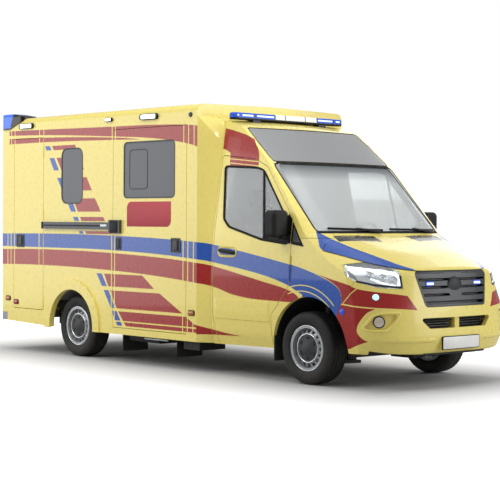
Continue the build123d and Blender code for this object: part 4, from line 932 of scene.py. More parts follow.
def make_piece(name: str, form: Form, finish: Finish, body: str = ROOT,
               crease: float = 35.0) -> bpy.types.Object:
    """Makes a mesh piece in place and lets it ride on a body.

    Args:
        name: The piece's name.
        form: Its shape in the frame.
        finish: Its finish.
        body: The CAD body that it moves with.
        crease: Edges sharper than this many degrees stay sharp.

    Returns:
        The finished object.
    """
    mesh = bpy.data.meshes.new(name)
    mesh.from_pydata(form.points.tolist(), [], form.quads.tolist() + [cap.tolist() for cap in form.caps])
    work = bmesh.new()
    work.from_mesh(mesh)
    bmesh.ops.remove_doubles(work, verts=work.verts, dist=1e-6)
    bmesh.ops.recalc_face_normals(work, faces=work.faces)
    work.to_mesh(mesh)
    work.free()
    mesh.polygons.foreach_set("use_smooth", np.ones(len(mesh.polygons), bool))
    mesh.set_sharp_from_angle(angle=math.radians(crease))
    mesh.materials.append(material_of(finish))
    piece = bpy.data.objects.new(name, mesh)
    bpy.context.scene.collection.objects.link(piece)
    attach(piece, body)
    LOG.info("piece %s: %d points on %s", name, len(form.points), body)
    return piece


# Sub-assemblies


@dataclass(frozen=True)
class Coverings:
    """Finishes of the CAD nodes."""

    nodes: tuple = (
        (BOX_LIVERY, "box_wall_right box_wall_left sliding_door locker_door_right locker_door_left"),
        (BOX_LIVERY, "box_rear_frame box_roof rear_door_right rear_door_left"),
        (BULKHEAD_LIVERY, "box_front_wall"),
        (CAB_LIVERY, "cab_shell front_wings body_collar cab_door_right cab_door_left"),
        (BONNET_LIVERY, "bonnet"),
        (BUMPER_LIVERY, "front_bumper"),
        (PAINT, "fog_lamps"),
        (SCREEN_PAINTED_REFLECTION, "windscreen"),
        (VISOR, "visor_panel"),
        (PANE, "door_glass_right door_glass_left"),
        (DARK_PANE, "box_windows rear_glass_right rear_glass_left"),
        (LENS, "headlamps"),
        (GLOSS_BLACK, "grille"),
        (BAR_LENS, "light_bar"),
        (BEACON_LENS, "corner_beacons"),
        (TRIM, "mirror_right mirror_left scene_lamps rear_lamps dashboard steering_wheel cab_floor"),
        (TRIM, "tank_and_step wheel_liners"),
        (ALUMINIUM, "slide_rail"),
        (FLOORING, "box_floor"),
        (STEP_PLATE, "rear_bumper"),
        (CHASSIS, "front_panel chassis_frame front_axle rear_axle leaf_springs"),
        (CAST, "knuckle_right knuckle_left engine"),
        (PIPE, "exhaust"),
        (WHEEL_PAINT, "rim_front_right rim_front_left rim_rear_right rim_rear_left"),
        (TYRE, "tyre_front_right tyre_front_left tyre_rear_right tyre_rear_left"),
        (FABRIC, "cab_seats"),
    )

    def build(self) -> None:
        """Gives each CAD node its finish."""
        for finish, names in self.nodes:
            for name in names.split():
                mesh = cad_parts[name].data
                mesh.materials.clear()
                mesh.materials.append(material_of(finish))
                LOG.info("node %s: %s", name, finish.name)


@dataclass(frozen=True)
class Underside:
    """Flaps and edge of the side step."""

    flaps: tuple = (-2853, -1933)
    flap_size: tuple = (0.345, 0.245)
    flap_place: tuple = (-0.778, 0.238)
    flap_rings: Pairs = ((0.001, -0.005), (0, -0.004), (0, 0.004), (0.001, 0.005))
    edge_size: tuple = (0.40, 0.018)
    edge_place: tuple = (FRONT_AXLE_X - 2.30, -0.9305, 0.275)
    edge_rings: Pairs = ((0, -0.004), (0, 0.004), (0.003, 0.006))

    def build(self) -> None:
        """Makes the step's flaps and its edge."""
        faces = [plane((FRONT_AXLE_X + x * MM, *self.flap_place), LEFT) for x in self.flaps]
        flaps = joined(tile(self.flap_size, 0.012, self.flap_rings, face) for face in faces)
        make_piece("step_flaps", flaps, TRIM)
        edge = tile(self.edge_size, 0.006, self.edge_rings, plane(self.edge_place, ALONG))
        make_piece("step_edge", edge, BRIGHT_METAL)


@dataclass(frozen=True)
class Wheels:
    """Tyres with their tread, hub caps and bright rings."""

    radius: float = 0.345
    well_radius: float = 0.206
    bead_half: float = 0.0895
    crown_drop: float = 0.0028
    groove_depth: float = 0.007
    sipe_depth: float = 0.0045
    sipe_slant: float = 9.0
    sipe_share: float = 0.25
    shoulder_half: float = 0.03
    shoulder_radius: float = 0.33
    blocks: int = 56
    steps: int = 224
    bolts: int = 6
    bolt_radius: float = 0.097
    hoops: tuple = ((0.1345, 0.0885, 0.007), (0.2125, 0.1005, 0.0042))
    dish: Pairs = ((0.0, 0.1035), (0.033, 0.1035), (0.039, 0.1005), (0.060, 0.0990), (0.073, 0.0910),
                   (0.080, 0.0890), (0.113, 0.0878), (0.121, 0.0866), (0.1245, 0.0845), (0.1245, 0.0815),
                   (0.0, 0.0815))
    pocket: Pairs = ((0, 0.0855), (0, 0.0888), (0.002, 0.0892))
    head: Pairs = ((0.0, 0.0935), (0.006, 0.0935), (0.0075, 0.092), (0.0075, 0.0880), (0.0, 0.0880))

    def tyre(self, centre: Vector) -> Form:
        """Tyre: sidewall bulge, shoulder and crowned tread, turned round the axle and cut by grooves.

        Args:
            centre: Middle of the wheel.

        Returns:
            The closed tyre.
        """
        wall_r = np.array([0.2190, 0.2235, 0.236, 0.252, 0.275, 0.295, 0.312, 0.3225, 0.332, 0.339])
        wall_y = np.array([0.0895, 0.1035, 0.110, 0.1145, 0.1175, 0.1160, 0.1115, 0.1065, 0.1000, 0.0910])
        ribs = np.array([0, 0, 0.0006, -0.0006, 0, 0.0008, -0.0006, 0.0008, 0, 0])
        tread_y = np.array([0.084, 0.0755, 0.0752, 0.0678, 0.0675, 0.036, 0.0357, 0.0283, 0.028, 0.0])
        crown = self.radius - self.crown_drop * (tread_y / tread_y[0]) ** 2
        cut = np.array([0, 0, 1, 1, 0, 0, 1, 1, 0, 0]) * self.groove_depth
        half_r = np.concatenate([wall_r, crown - cut])
        half_y = np.concatenate([wall_y + ribs, tread_y])
        section_r = np.concatenate([[self.well_radius], half_r, half_r[-2::-1], [self.well_radius]])
        section_y = np.concatenate([[self.bead_half], half_y, -half_y[-2::-1], [-self.bead_half]])
        turn = np.arange(self.steps)[:, None] * math.tau / self.steps
        slant = turn * self.blocks / math.tau + section_y[None] * self.sipe_slant * np.sign(section_y)[None]
        shoulder = ((np.abs(section_y) > self.shoulder_half) & (section_r > self.shoulder_radius))[None]
        radius = section_r[None] - self.sipe_depth * (((slant % 1.0) < self.sipe_share) & shoulder)
        across = np.broadcast_to(section_y, radius.shape)
        points = np.stack([radius * np.cos(turn), across, radius * np.sin(turn)], -1)
        return net(points + np.array(centre), wrap_rows=True)

    def slots(self, centre: Vector, side: Side) -> tuple[Form, Form]:
        """Flat dark patches round the cap, painted shade of the lug recesses, and a bolt head on each, on
        planes across the axle.
        """
        recess_shades, heads = [], []
        for turn in np.arange(self.bolts) * math.tau / self.bolts + math.pi / 6:
            out = np.array([math.cos(turn), 0.0, math.sin(turn)])
            spot = np.array(centre) + self.bolt_radius * out
            face = plane(spot, out, np.cross(side.out, out))
            recess_shades.append(tile((0.024, 0.042), 0.0115, self.pocket, face))
            heads.append(lathe(self.head, spot, side.out, 6))
        return joined(recess_shades), joined(heads)

    @staticmethod
    def hoop(radius: float, station: float, bulge: float, centre: Vector, side: Side) -> Form:
        """Bright hoop: a half-round bead at a radius, turned about the axle."""
        turn = np.linspace(0, math.pi, 9)
        half = [(radius + bulge * math.cos(t), station + bulge * math.sin(t)) for t in turn]
        foot = [(radius - bulge, station - bulge), (radius + bulge, station - bulge)]
        return lathe(half + foot + half[:1], centre, side.out, 72)

    def build(self) -> None:
        """Makes the four wheels' pieces."""
        for corner in ("front_right", "front_left", "rear_right", "rear_left"):
            side = Side.RIGHT if corner.endswith("right") else Side.LEFT
            centre = centre_of(f"tyre_{corner}")
            body = f"wheel_{corner}"
            tyre = make_piece(f"treaded_tyre_{corner}", self.tyre(centre), TYRE, body, crease=50.0)
            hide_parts(f"tyre_{corner}")
            make_piece(f"hub_cap_{corner}", lathe(self.dish, centre, side.out), CAP_GREY, body)
            recess_shades, heads = self.slots(centre, side)
            # Dark patches on the cap: painted shade where the lug recesses are.
            make_piece(f"hub_slots_{corner}", recess_shades, SEAL, body)
            make_piece(f"hub_bolts_{corner}", heads, CAP_GREY, body)
            hoops = joined(self.hoop(*row, centre, side) for row in self.hoops)
            make_piece(f"hub_hoops_{corner}", hoops, CHROME, body)


@dataclass(frozen=True)
class CabGlass:
    """Seals, dividers and screen fittings of the cab's glass."""

    window: Pairs = ((-1262, 2085), (-1200, 1560), (-1115, 1484), (-620, 1364), (-250, 1326), (-250, 1500),
                     (-684, 2029), (-786, 2062))
    divider: Pairs = ((-690, 2026), (-588, 1362))
    sail: Pairs = ((-203, 1322), (-28, 1300), (-203, 1540))
    door_sail: Pairs = ((-590, 1366), (-213, 1324), (-213, 1556), (-262, 1612), (-345, 1520), (-375, 1432),
                        (-590, 1404))
    sail_rings: Pairs = ((0, -0.003), (0, 0.003), (0.003, 0.0045), (0.012, 0.0045))
    inlay_rings: Pairs = ((0, 0.003), (0, 0.0055), (0.002, 0.006))
    inlay_share: float = 0.62
    rims: tuple = ((((-870, 1440), (-848, 2104), (848, 2104), (870, 1440)), 0.04, (0.013, 0.008)),
                   (((-832, 2126), (-788, 2474), (788, 2474), (832, 2126)), 0.03, (0.009, 0.007)))
    strips: tuple = ((0.810, 2.114, 48, (0.013, 0.008)), (0.862, 1.438, 60, (0.024, 0.010)))
    blades: tuple = (((0.80, 1.452), (0.10, 1.462)), ((-0.02, 1.452), (-0.72, 1.468)))
    arm_heights: tuple = (1.425, 1.458)

    def door(self, side: Side) -> None:
        """Seal and quarter-light bar of one cab door, and the black panels to each side of its front edge."""
        body = f"cab_door_{side.word}"
        leaf = [body, f"door_glass_{side.word}"]
        skin = Skin(leaf, 1, float(side))
        line = spaced(softened(ahead(self.window), 0.03), 0.02, True)
        seal = ribbon(line, bead(0.022, 0.012, 0.001, 0.004), skin.place, True)
        bar = ribbon(spaced(ahead(self.divider), 0.03), bead(0.026, 0.014, 0.004), skin.place)
        make_piece(f"door_seal_{side.word}", seal + bar, SEAL, body)
        for word, nodes, corners, rider in (("fixed", ["cab_shell", "front_wings"], self.sail, ROOT),
                                            ("door", leaf, self.door_sail, body)):
            skin = Skin(nodes, 1, float(side))
            outline = spaced(softened(ahead(corners), 0.012), 0.01, True)
            make_piece(f"sail_{word}_{side.word}", pad(outline, self.sail_rings, skin.place), SEAL, rider)
            middle = outline.mean(0)
            inlay = pad(middle + (outline - middle) * self.inlay_share, self.inlay_rings, skin.place)
            make_piece(f"sail_inlay_{word}_{side.word}", inlay, SAIL_GREY, rider)

    def screen_trim(self) -> None:
        """Thin seals round the screen and the panel above it, a joint between the two and a cowl strip."""
        skin = Skin(["windscreen", "cab_shell", "visor_panel"], 0)
        forms = []
        for corners, radius, section in self.rims:
            line = spaced(softened(np.array(corners) * MM, radius), 0.03, True)
            forms.append(ribbon(line, bead(*section), skin.place, True))
        for half, z, count, section in self.strips:
            line = np.linspace((-half, z), (half, z), count)
            forms.append(ribbon(line, bead(*section), skin.place))
        make_piece("screen_seals", joined(forms), SEAL)

    def wipers(self) -> None:
        """Two wipers parked along the foot of the screen: blades on the glass and arms from the cowl."""
        glass = Skin(["windscreen", "cab_shell"], 0)
        forms = []
        for start, end in self.blades:
            forms.append(ribbon(np.linspace(start, end, 24), bead(0.014, 0.022, 0.010), glass.place))
            foot, head = self.arm_heights
            arm = np.linspace((start[0] - 0.06, foot), ((start[0] + end[0]) / 2, head), 14)
            forms.append(ribbon(arm, bead(0.022, 0.014, 0.022), glass.place))
        make_piece("wipers", joined(forms), TRIM)

    def build(self) -> None:
        """Makes all the trim of the cab's glass."""
        for side in Side:
            self.door(side)
        self.screen_trim()
        self.wipers()


@dataclass(frozen=True)
class CabDoors:
    """Handles, mouldings and mirrors of the cab doors."""

    handle: tuple = (-1112, 1233)
    handle_size: tuple = (0.235, 0.040, 0.026)
    handle_droop: float = 0.012
    handle_taper: float = 0.25
    handle_lift: float = 0.020
    cup_size: tuple = (0.285, 0.112)
    cup_rings: Pairs = ((0, -0.004), (0, 0.003), (0.006, 0.005), (0.014, 0.002), (0.03, -0.002))
    moulding_top: Pairs = ((-1300, 764), (-480, 764))
    moulding_height: float = 0.205
    moulding_slope: float = 1.2
    moulding_rise: float = 0.008
    moulding_sink: float = 0.001
    mirror_middle: tuple = (1.090, 1.510)
    rim_rings: Pairs = ((0, -0.002), (0, 0.004), (0.006, 0.006), (0.010, 0.003))
    glass_rings: Pairs = ((0, 0.0), (0, 0.0045), (0.002, 0.005))

    def handle_forms(self, skin: Skin) -> tuple[Form, Form]:
        """Grip and cup of a door handle: an oval rim on the skin and a bar bowed over it."""
        spot = ahead([self.handle])[0]
        rim = pad(rounded(*self.cup_size, 0.055, 9) + spot, self.cup_rings, skin.place)
        run = np.linspace(-1, 1, 25)
        line = spot + np.stack([run * self.handle_size[0] / 2, -self.handle_droop * run], -1)
        across, height = bead(*self.handle_size[1:]).T
        taper = (1 - self.handle_taper * run**4)[:, None, None] * np.array([0, 1.0])
        lift = self.handle_lift + height[None] - self.handle_droop * (run**4)[:, None]
        return net(skin.place(line[:, None] + across[None, :, None] * taper, lift), capped=True), rim

    def moulding(self, skin: Skin) -> Form:
        """Rub moulding: a low flat-topped band across the door, rounded off all round."""
        left, right = ahead(self.moulding_top)
        middle = left[1] - self.moulding_height / 2
        z = middle + self.moulding_height * (np.linspace(0, 1, 24)[:, None] - 0.5)
        x = np.linspace(left[0], right[0], 40)[None]
        edge = np.minimum(np.minimum(x - left[0], right[0] - x), np.minimum(z - z.min(), z.max() - z))
        height = np.clip(edge * self.moulding_slope, 0, self.moulding_rise) - self.moulding_sink
        return net(skin.place(np.stack(np.broadcast_arrays(x, z), -1), height), wrap_columns=False)

    def build(self) -> None:
        """Makes the doors' pieces."""
        for side in Side:
            body = f"cab_door_{side.word}"
            skin = Skin([body], 1, float(side))
            grip, cup = self.handle_forms(skin)
            make_piece(f"door_handle_{side.word}", grip, TRIM, body)
            make_piece(f"handle_cup_{side.word}", cup, PAINT, body)
            make_piece(f"door_moulding_{side.word}", self.moulding(skin), CAB_LIVERY, body)
            y, z = self.mirror_middle
            back = plane((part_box(f"mirror_{side.word}")[0].x, side * y, z), (0, -1, 0))
            rim = tile((0.186, 0.256), 0.046, self.rim_rings, back)
            glass = tile((0.166, 0.236), 0.038, self.glass_rings, back)
            make_piece(f"mirror_rim_{side.word}", rim, SEAL, body)
            make_piece(f"mirror_glass_{side.word}", glass, REFLECTOR, body)


@dataclass(frozen=True)
class FrontEnd:
    """Lamps, grille, bumper fittings and plate of the nose."""

    lamp_edge: Pairs = ((0.656, 1.052), (0.656, 0.950), (0.668, 0.943), (0.740, 0.950), (0.880, 0.968),
                        (0.960, 0.996))
    guide: Pairs = ((0.668, 0.962), (0.672, 1.062), (0.70, 1.086), (0.80, 1.106), (0.90, 1.124),
                    (0.945, 1.130))
    low_guide: Pairs = ((0.70, 0.960), (0.80, 0.985), (0.88, 1.025))
    lamp_ends: tuple = (0.655, 0.955)
    lamp_foot: tuple = (0.942, 0.18)
    lamp_head: tuple = (1.116, 0.07)
    back_depth: float = 0.034
    bowls: tuple = ((0.715, 1.012, 0.036), (0.795, 1.036, 0.034), (0.868, 1.068, 0.028))
    bowl_rings: Pairs = ((0, -0.030), (0, -0.012), (0.004, -0.010), (0.008, -0.014), (0.014, -0.024))
    fog: tuple = (0.836, 0.880, 0.632)
    fog_way: tuple = (0.78, 0.62)
    fog_radius: float = 0.052
    fog_sink: float = 0.007
    fog_rim: Pairs = ((972, 572), (922, 690), (880, 709), (702, 717), (762, 628), (824, 552), (946, 549))
    dome: Pairs = ((0.030, -0.004), (0.030, 0.004), (0.024, 0.010), (0.014, 0.014), (0.0, 0.016),
                   (0.0, -0.004))
    corner_lamps: tuple = (("white", 793, 883, 855, 0.62, CYAN_LIT), ("blue", 488, 1000, 714, 0.0, BLUE_LENS))
    boss: Pairs = ((0.104, -0.02), (0.104, 0.004), (0.098, 0.009), (0.090, 0.006), (0.086, 0.006),
                   (0.05, 0.010), (0.0, 0.012), (0.0, -0.02))
    boss_z: float = 0.93
    boss_sink: float = 0.006
    grille_lamp: tuple = (0.956, 0.340, 0.972)
    case_rings: Pairs = ((0, -0.03), (0, 0.012), (0.004, 0.016))
    light_rings: Pairs = ((0, 0.0), (0, 0.019), (0.004, 0.021))
    bars: tuple = (0.858, 0.928, 0.998, 1.068)
    plate_size: tuple = (0.520, 0.110)
    plate_z: float = 0.425
    frame_rings: Pairs = ((0, -0.01), (0, 0.001), (0.003, 0.003))
    plate_rings: Pairs = ((0, 0.0), (0, 0.0035), (0.002, 0.0045))
    sensors: Pairs = ((-0.750, 0.479), (-0.434, 0.470), (0.434, 0.470), (0.750, 0.479))
    sensor_rings: Pairs = ((0, -0.004), (0, 0.002), (0.004, 0.003))
    lip: tuple = (0.44, 0.326)
    lip_section: Pairs = ((-0.009, -0.002), (0.009, -0.002), (0.008, 0.004), (-0.008, 0.004))
    crease_start: tuple = (0.30, 0.455)
    crease_run: tuple = (0.60, 0.006)
    crease_sink: float = 0.002
    slat_heights: tuple = (0.580, 0.604, 0.628, 0.650)
    slat_half: float = 0.48
    slat_depth: float = 0.058
    slat_slope: tuple = (0.1, 0.61)
    upright_half: float = 0.46
    upright_depth: float = 0.064
    upright_ends: tuple = (0.552, 0.672)
    brow_z: float = 0.690

    def lamp(self, side: Side) -> None:
        """Optics of a headlamp: bright back, light guide and bowls under the lens, and a dark rim below."""
        skin = Skin(["headlamps"], 0)
        mirror = np.array([float(side), 1.0])
        y, share = np.meshgrid(np.linspace(*self.lamp_ends, 26), np.linspace(0.0, 1.0, 10))
        out = y - self.lamp_ends[0]
        foot, head = (level + out * rise for level, rise in (self.lamp_foot, self.lamp_head))
        flat = np.stack([y, foot + (head - foot) * share], -1) * mirror
        back = net(skin.place(flat, np.full(flat.shape[:2], -self.back_depth)), wrap_columns=False)
        make_piece(f"headlamp_back_{side.word}", back, REFLECTOR)
        rim, guide, low = (spaced(np.array(path), 0.012) * mirror
                           for path in (self.lamp_edge, self.guide, self.low_guide))
        make_piece(f"headlamp_rim_{side.word}", ribbon(rim, bead(0.020, 0.008), skin.place), GLOSS_BLACK)
        strip = ribbon(guide, bead(0.020, 0.012, -0.018), skin.place)
        strip = strip + ribbon(low, bead(0.012, 0.010, -0.02), skin.place)
        make_piece(f"headlamp_guide_{side.word}", strip, LAMP_LIT)
        bowls = []
        for y, z, radius in self.bowls:
            ring = (rounded(2 * radius, 2 * radius, radius, 8) + [y, z]) * mirror
            rings = self.bowl_rings + ((0.6 * radius, -0.022), (0.8 * radius, -0.016))
            bowls.append(pad(ring if side is Side.LEFT else ring[::-1], rings, skin.place))
        make_piece(f"headlamp_bowls_{side.word}", joined(bowls), REFLECTOR)

    def round_lamps(self, side: Side) -> None:
        """Fog lamp, a bright bowl in a dark ring, and the white and blue lamps on the bumper's corner."""
        way = np.array([self.fog_way[0], self.fog_way[1] * side, 0.0])
        way = way / np.linalg.norm(way)
        spot = np.array([FRONT_AXLE_X, 0.0, 0.0]) + np.array(self.fog) * [1, side, 1] - self.fog_sink * way
        r = self.fog_radius
        ring = [(r + 0.004, -0.02), (r + 0.004, 0.001), (r, 0.004), (r - 0.007, 0.002), (r - 0.007, -0.02)]
        bowl = [(r - 0.006, -0.003), (r - 0.006, 0.0006), (r * 0.7, 0.0024), (r * 0.4, 0.0034), (0.0, 0.004),
                (0.0, -0.003)]
        make_piece(f"fog_ring_{side.word}", lathe(ring + ring[:1], spot, way), CAP_GREY)
        make_piece(f"fog_bowl_{side.word}", lathe(bowl, spot, way), FOG_BOWL)
        for word, x, y, z, lean, finish in self.corner_lamps:
            axis = np.array([lean, math.sqrt(1 - lean**2) * side, 0.0])
            spot = (FRONT_AXLE_X + x * MM, side * y * MM, z * MM)
            make_piece(f"corner_lamp_{word}_{side.word}", lathe(self.dome, spot, axis, 24), finish)

    def grille(self) -> None:
        """Blue lamps between the bars, a plain domed boss, and bright edges along the bars."""
        skin = Skin(["grille"], 0)
        boss_x = skin.place(np.array([[0.0, self.boss_z]]))[0][0]
        boss = lathe(self.boss, (boss_x - self.boss_sink, 0, self.boss_z), ALONG)
        make_piece("grille_boss", boss, GLOSS_BLACK)
        x, y, z = self.grille_lamp
        faces = [plane((FRONT_AXLE_X + x, side * y, z), LEFT) for side in Side]
        cases = joined(tile((0.116, 0.046), 0.012, self.case_rings, face) for face in faces)
        make_piece("grille_lamp_cases", cases, BLUE_LENS)
        lights = joined(tile((0.096, 0.022), 0.008, self.light_rings, face) for face in faces)
        make_piece("grille_lamp_lights", lights, BLUE_LIT)
        edges = []
        for z in self.bars:
            for sign in (-1, 1):
                line = np.linspace((sign * 0.13, z), (sign * (0.400 + (z - 0.80) * 0.30), z), 16)
                edges.append(ribbon(line, bead(0.008, 0.006), skin.place))
        make_piece("grille_edges", joined(edges), CAP_GREY)

    def fittings(self) -> None:
        """Blank plate in its frame, sensors, intake slats, dark lip and creases of the bumper."""
        skin = Skin(["front_bumper"], 0)
        face = plane((CAD_BOX[1].x, 0, self.plate_z), LEFT)
        width, height = self.plate_size
        make_piece("plate_frame", tile((width + 0.016, height + 0.014), 0.012, self.frame_rings, face), SEAL)
        make_piece("plate_blank", tile(self.plate_size, 0.010, self.plate_rings, face), PLATE_WHITE)
        discs = [tile((0.034, 0.034), 0.017, self.sensor_rings, skin.place, spot) for spot in self.sensors]
        make_piece("parking_sensors", joined(discs), PAINT)
        make_piece("intake_slats", self.slats(skin), GLOSS_BLACK)
        half, z = self.lip
        lip = ribbon(np.linspace((-half, z), (half, z), 60), self.lip_section, skin.place)
        make_piece("bumper_lip", lip, TRIM)
        make_piece("bumper_creases", self.creases(skin), BUMPER_LIVERY)

    def creases(self, skin: Skin) -> Form:
        """Soft folds of the bumper: a level one to each side of the plate and one round each fog recess."""
        forms = []
        for side in Side:
            run = np.linspace(0, 1, 40)
            y, z = (start + reach * run for start, reach in zip(self.crease_start, self.crease_run))
            line = np.stack([side * y, z], -1)
            across, height = bead(0.044, 0.018).T
            fade = np.sin(run * math.pi)[:, None] ** 0.5
            flat = line[:, None] + across[None, :, None] * np.array([0, 1.0])
            forms.append(net(skin.place(flat, height[None] * fade - self.crease_sink), capped=True))
            outline = spaced(softened(np.array(self.fog_rim) * [side * MM, MM], 0.028), 0.015, True)
            forms.append(ribbon(outline, bead(0.022, 0.013), skin.place, True))
        return joined(forms)

    def slats(self, skin: Skin) -> Form:
        """Slats and uprights behind the intake, set back from the bumper's face over it."""
        forms = []
        y = np.linspace(-self.slat_half, self.slat_half, 40)
        face = skin.reach(np.stack([y, np.full(40, self.brow_z)], -1)) - self.slat_depth
        slope, level = self.slat_slope
        for z in self.slat_heights:
            path = np.stack([face - slope * (level - z), y, np.full(40, z)], -1)
            forms.append(tube(path, 0.0055, 8))
        y = np.linspace(-self.upright_half, self.upright_half, 24)
        face = skin.reach(np.stack([y, np.full(24, self.brow_z)], -1)) - self.upright_depth
        for spot in zip(face, y):
            ends = [(*spot, z) for z in self.upright_ends]
            forms.append(tube(np.linspace(*ends, 4), 0.0028, 6))
        return joined(forms)

    def build(self) -> None:
        """Makes the nose's pieces."""
        for side in Side:
            self.lamp(side)
            self.round_lamps(side)
        self.grille()
        self.fittings()


BEZEL_RINGS = ((0, -0.002), (0, 0.007), (0.004, 0.010), (0.012, 0.010), (0.016, 0.004))
PADDLE_RINGS = ((0, 0.003), (0, 0.013), (0.004, 0.016), (0.010, 0.017))


def make_latch(names: Sequence[str], place: Place, spot: Array, size: Sequence[float], body: str) -> None:
    """Paddle latch: a bezel on the wall with a hollow, and a paddle lying in it.

    Args:
        names: Names of the bezel and of the paddle.
        place: The wall that carries the latch.
        spot: Its middle on the wall.
        size: Its width and height.
        body: The CAD body that it moves with.
    """
    width, height = size
    make_piece(names[0], tile(size, 0.014, BEZEL_RINGS, place, spot), RIM_GREY, body)
    paddle = tile((width * 0.42, height * 0.72), 0.010, PADDLE_RINGS, place, spot + [width * 0.08, 0])
    make_piece(names[1], paddle, GLOSS_BLACK, body)


@dataclass(frozen=True)
class BoxSides:
    """Handles, windows' seals, strips and marker lamps of the box."""

    handles: tuple = (("locker", -4704, 1290, 0.150, 0.150), ("slide_front", -1843, 1283, 0.152, 0.150),
                      ("slide_rear", -2809, 1285, 0.086, 0.134))
    windows: tuple = ((((-3875, 1725), (-3475, 2340)), 0.085, bead(0.014, 0.007)),
                      (((-2723, 1778), (-1868, 2371)), 0.045, bead(0.014, 0.007)),
                      (((-2627, 1873), (-2322, 2290)), 0.035, bead(0.011, 0.010, -0.004)))
    markers: tuple = ((AMBER_LENS, -4959, 605), (RED_LENS, -4790, 568), (AMBER_LENS, -1587, 598))
    lens_rings: Pairs = ((0, -0.002), (0, 0.010), (0.005, 0.015), (0.014, 0.017))
    base_rings: Pairs = ((0, -0.002), (0, 0.006), (0.003, 0.008))
    sign: tuple = ((-2666, 1472), (-1924, 1737))
    sign_rings: Pairs = ((0, -0.0005), (0, 0.0012), (0.0006, 0.0016))
    eye: tuple = (-1617, 2619)
    eye_dome: Pairs = ((0.026, -0.002), (0.026, 0.006), (0.021, 0.013), (0.0, 0.017), (0.0, -0.002))
    rail_z: float = 1.475

    @staticmethod
    def wall(side: Side) -> Place:
        """The side wall as a flat place, with x and height as its coordinates."""
        at = plane((0, side * BOX_Y, 0), ALONG)
        return lambda flat, height=0.0: at(flat, -side * np.asarray(height, float))

    def flank(self, side: Side) -> None:
        """Latches, window seals, eye and marker lamps; the left side has one latch and one window."""
        place, shown = self.wall(side), 3 if side is Side.RIGHT else 1
        locker = f"locker_door_{side.word}"
        for word, x, z, *size in self.handles[:shown]:
            names = [f"latch_{part}_{word}_{side.word}" for part in ("bezel", "paddle")]
            make_latch(names, place, ahead([(x, z)])[0], size, locker if word == "locker" else ROOT)
        seals = []
        for span, radius, section in self.windows[:shown]:
            low, high = ahead(span)
            seals.append(ribbon(loop(high - low, radius, (high + low) / 2), section, place, True))
        if side is Side.RIGHT:
            self.sign_panel(place)
        make_piece(f"box_window_seals_{side.word}", joined(seals), RIM_GREY)
        eye = ahead([self.eye])[0]
        dome = lathe(self.eye_dome, (eye[0], side * BOX_Y, eye[1]), side.out, 24)
        make_piece(f"side_eye_{side.word}", dome, GLOSS_BLACK)
        for number, (finish, x, z) in enumerate(self.markers):
            spot = ahead([(x, z)])[0]
            body = locker if finish is RED_LENS else ROOT
            base = tile((0.106, 0.058), 0.020, self.base_rings, place, spot)
            make_piece(f"marker_base_{number}_{side.word}", base, TRIM, body)
            lens = tile((0.090, 0.044), 0.016, self.lens_rings, place, spot)
            make_piece(f"marker_lens_{number}_{side.word}", lens, finish, body)

    def sign_panel(self, place: Place) -> None:
        """Blank sign: a film with its upper rear and lower front corners rounded off."""
        low, high = ahead(self.sign)
        soft, hard = (rounded(*(high - low), radius, 8).reshape(4, 8, 2) for radius in (0.07, 0.004))
        outline = np.concatenate([hard[0], soft[1], hard[2], soft[3]]) + (low + high) / 2
        make_piece("sign_panel", pad(outline, self.sign_rings, place), SIGN_FILM)

    def rail(self) -> None:
        """Dark slot and end cap of the sliding door's rail, the slider in it, and its bracket's cover."""
        low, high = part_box("slide_rail")
        place = plane((0, low.y, 0), ALONG)
        slider = tile((0.120, 0.030), 0.008, ((0, -0.002), (0, 0.005), (0.004, 0.007)), place,
                      (high.x - 0.27, self.rail_z + 0.003))
        make_piece("rail_slider", slider, BRIGHT_METAL)
        slot = tile((1.255, 0.016), 0.006, ((0, -0.004), (0, 0.001), (0.002, 0.0015)), place,
                    (low.x + 0.632, self.rail_z))
        cover = tile((0.140, 0.138), 0.018, ((0, -0.006), (0, 0.004), (0.006, 0.008)), place,
                     (high.x - 0.095, self.rail_z - 0.007))
        cap = tile((0.030, 0.080), 0.006, ((0, -0.03), (0, 0.002), (0.003, 0.004)), place,
                   (low.x + 0.012, self.rail_z))
        make_piece("rail_fittings", slot + cover + cap, TRIM)

    def build(self) -> None:
        """Makes the pieces of both sides and of the rail."""
        for side in Side:
            self.flank(side)
        self.rail()


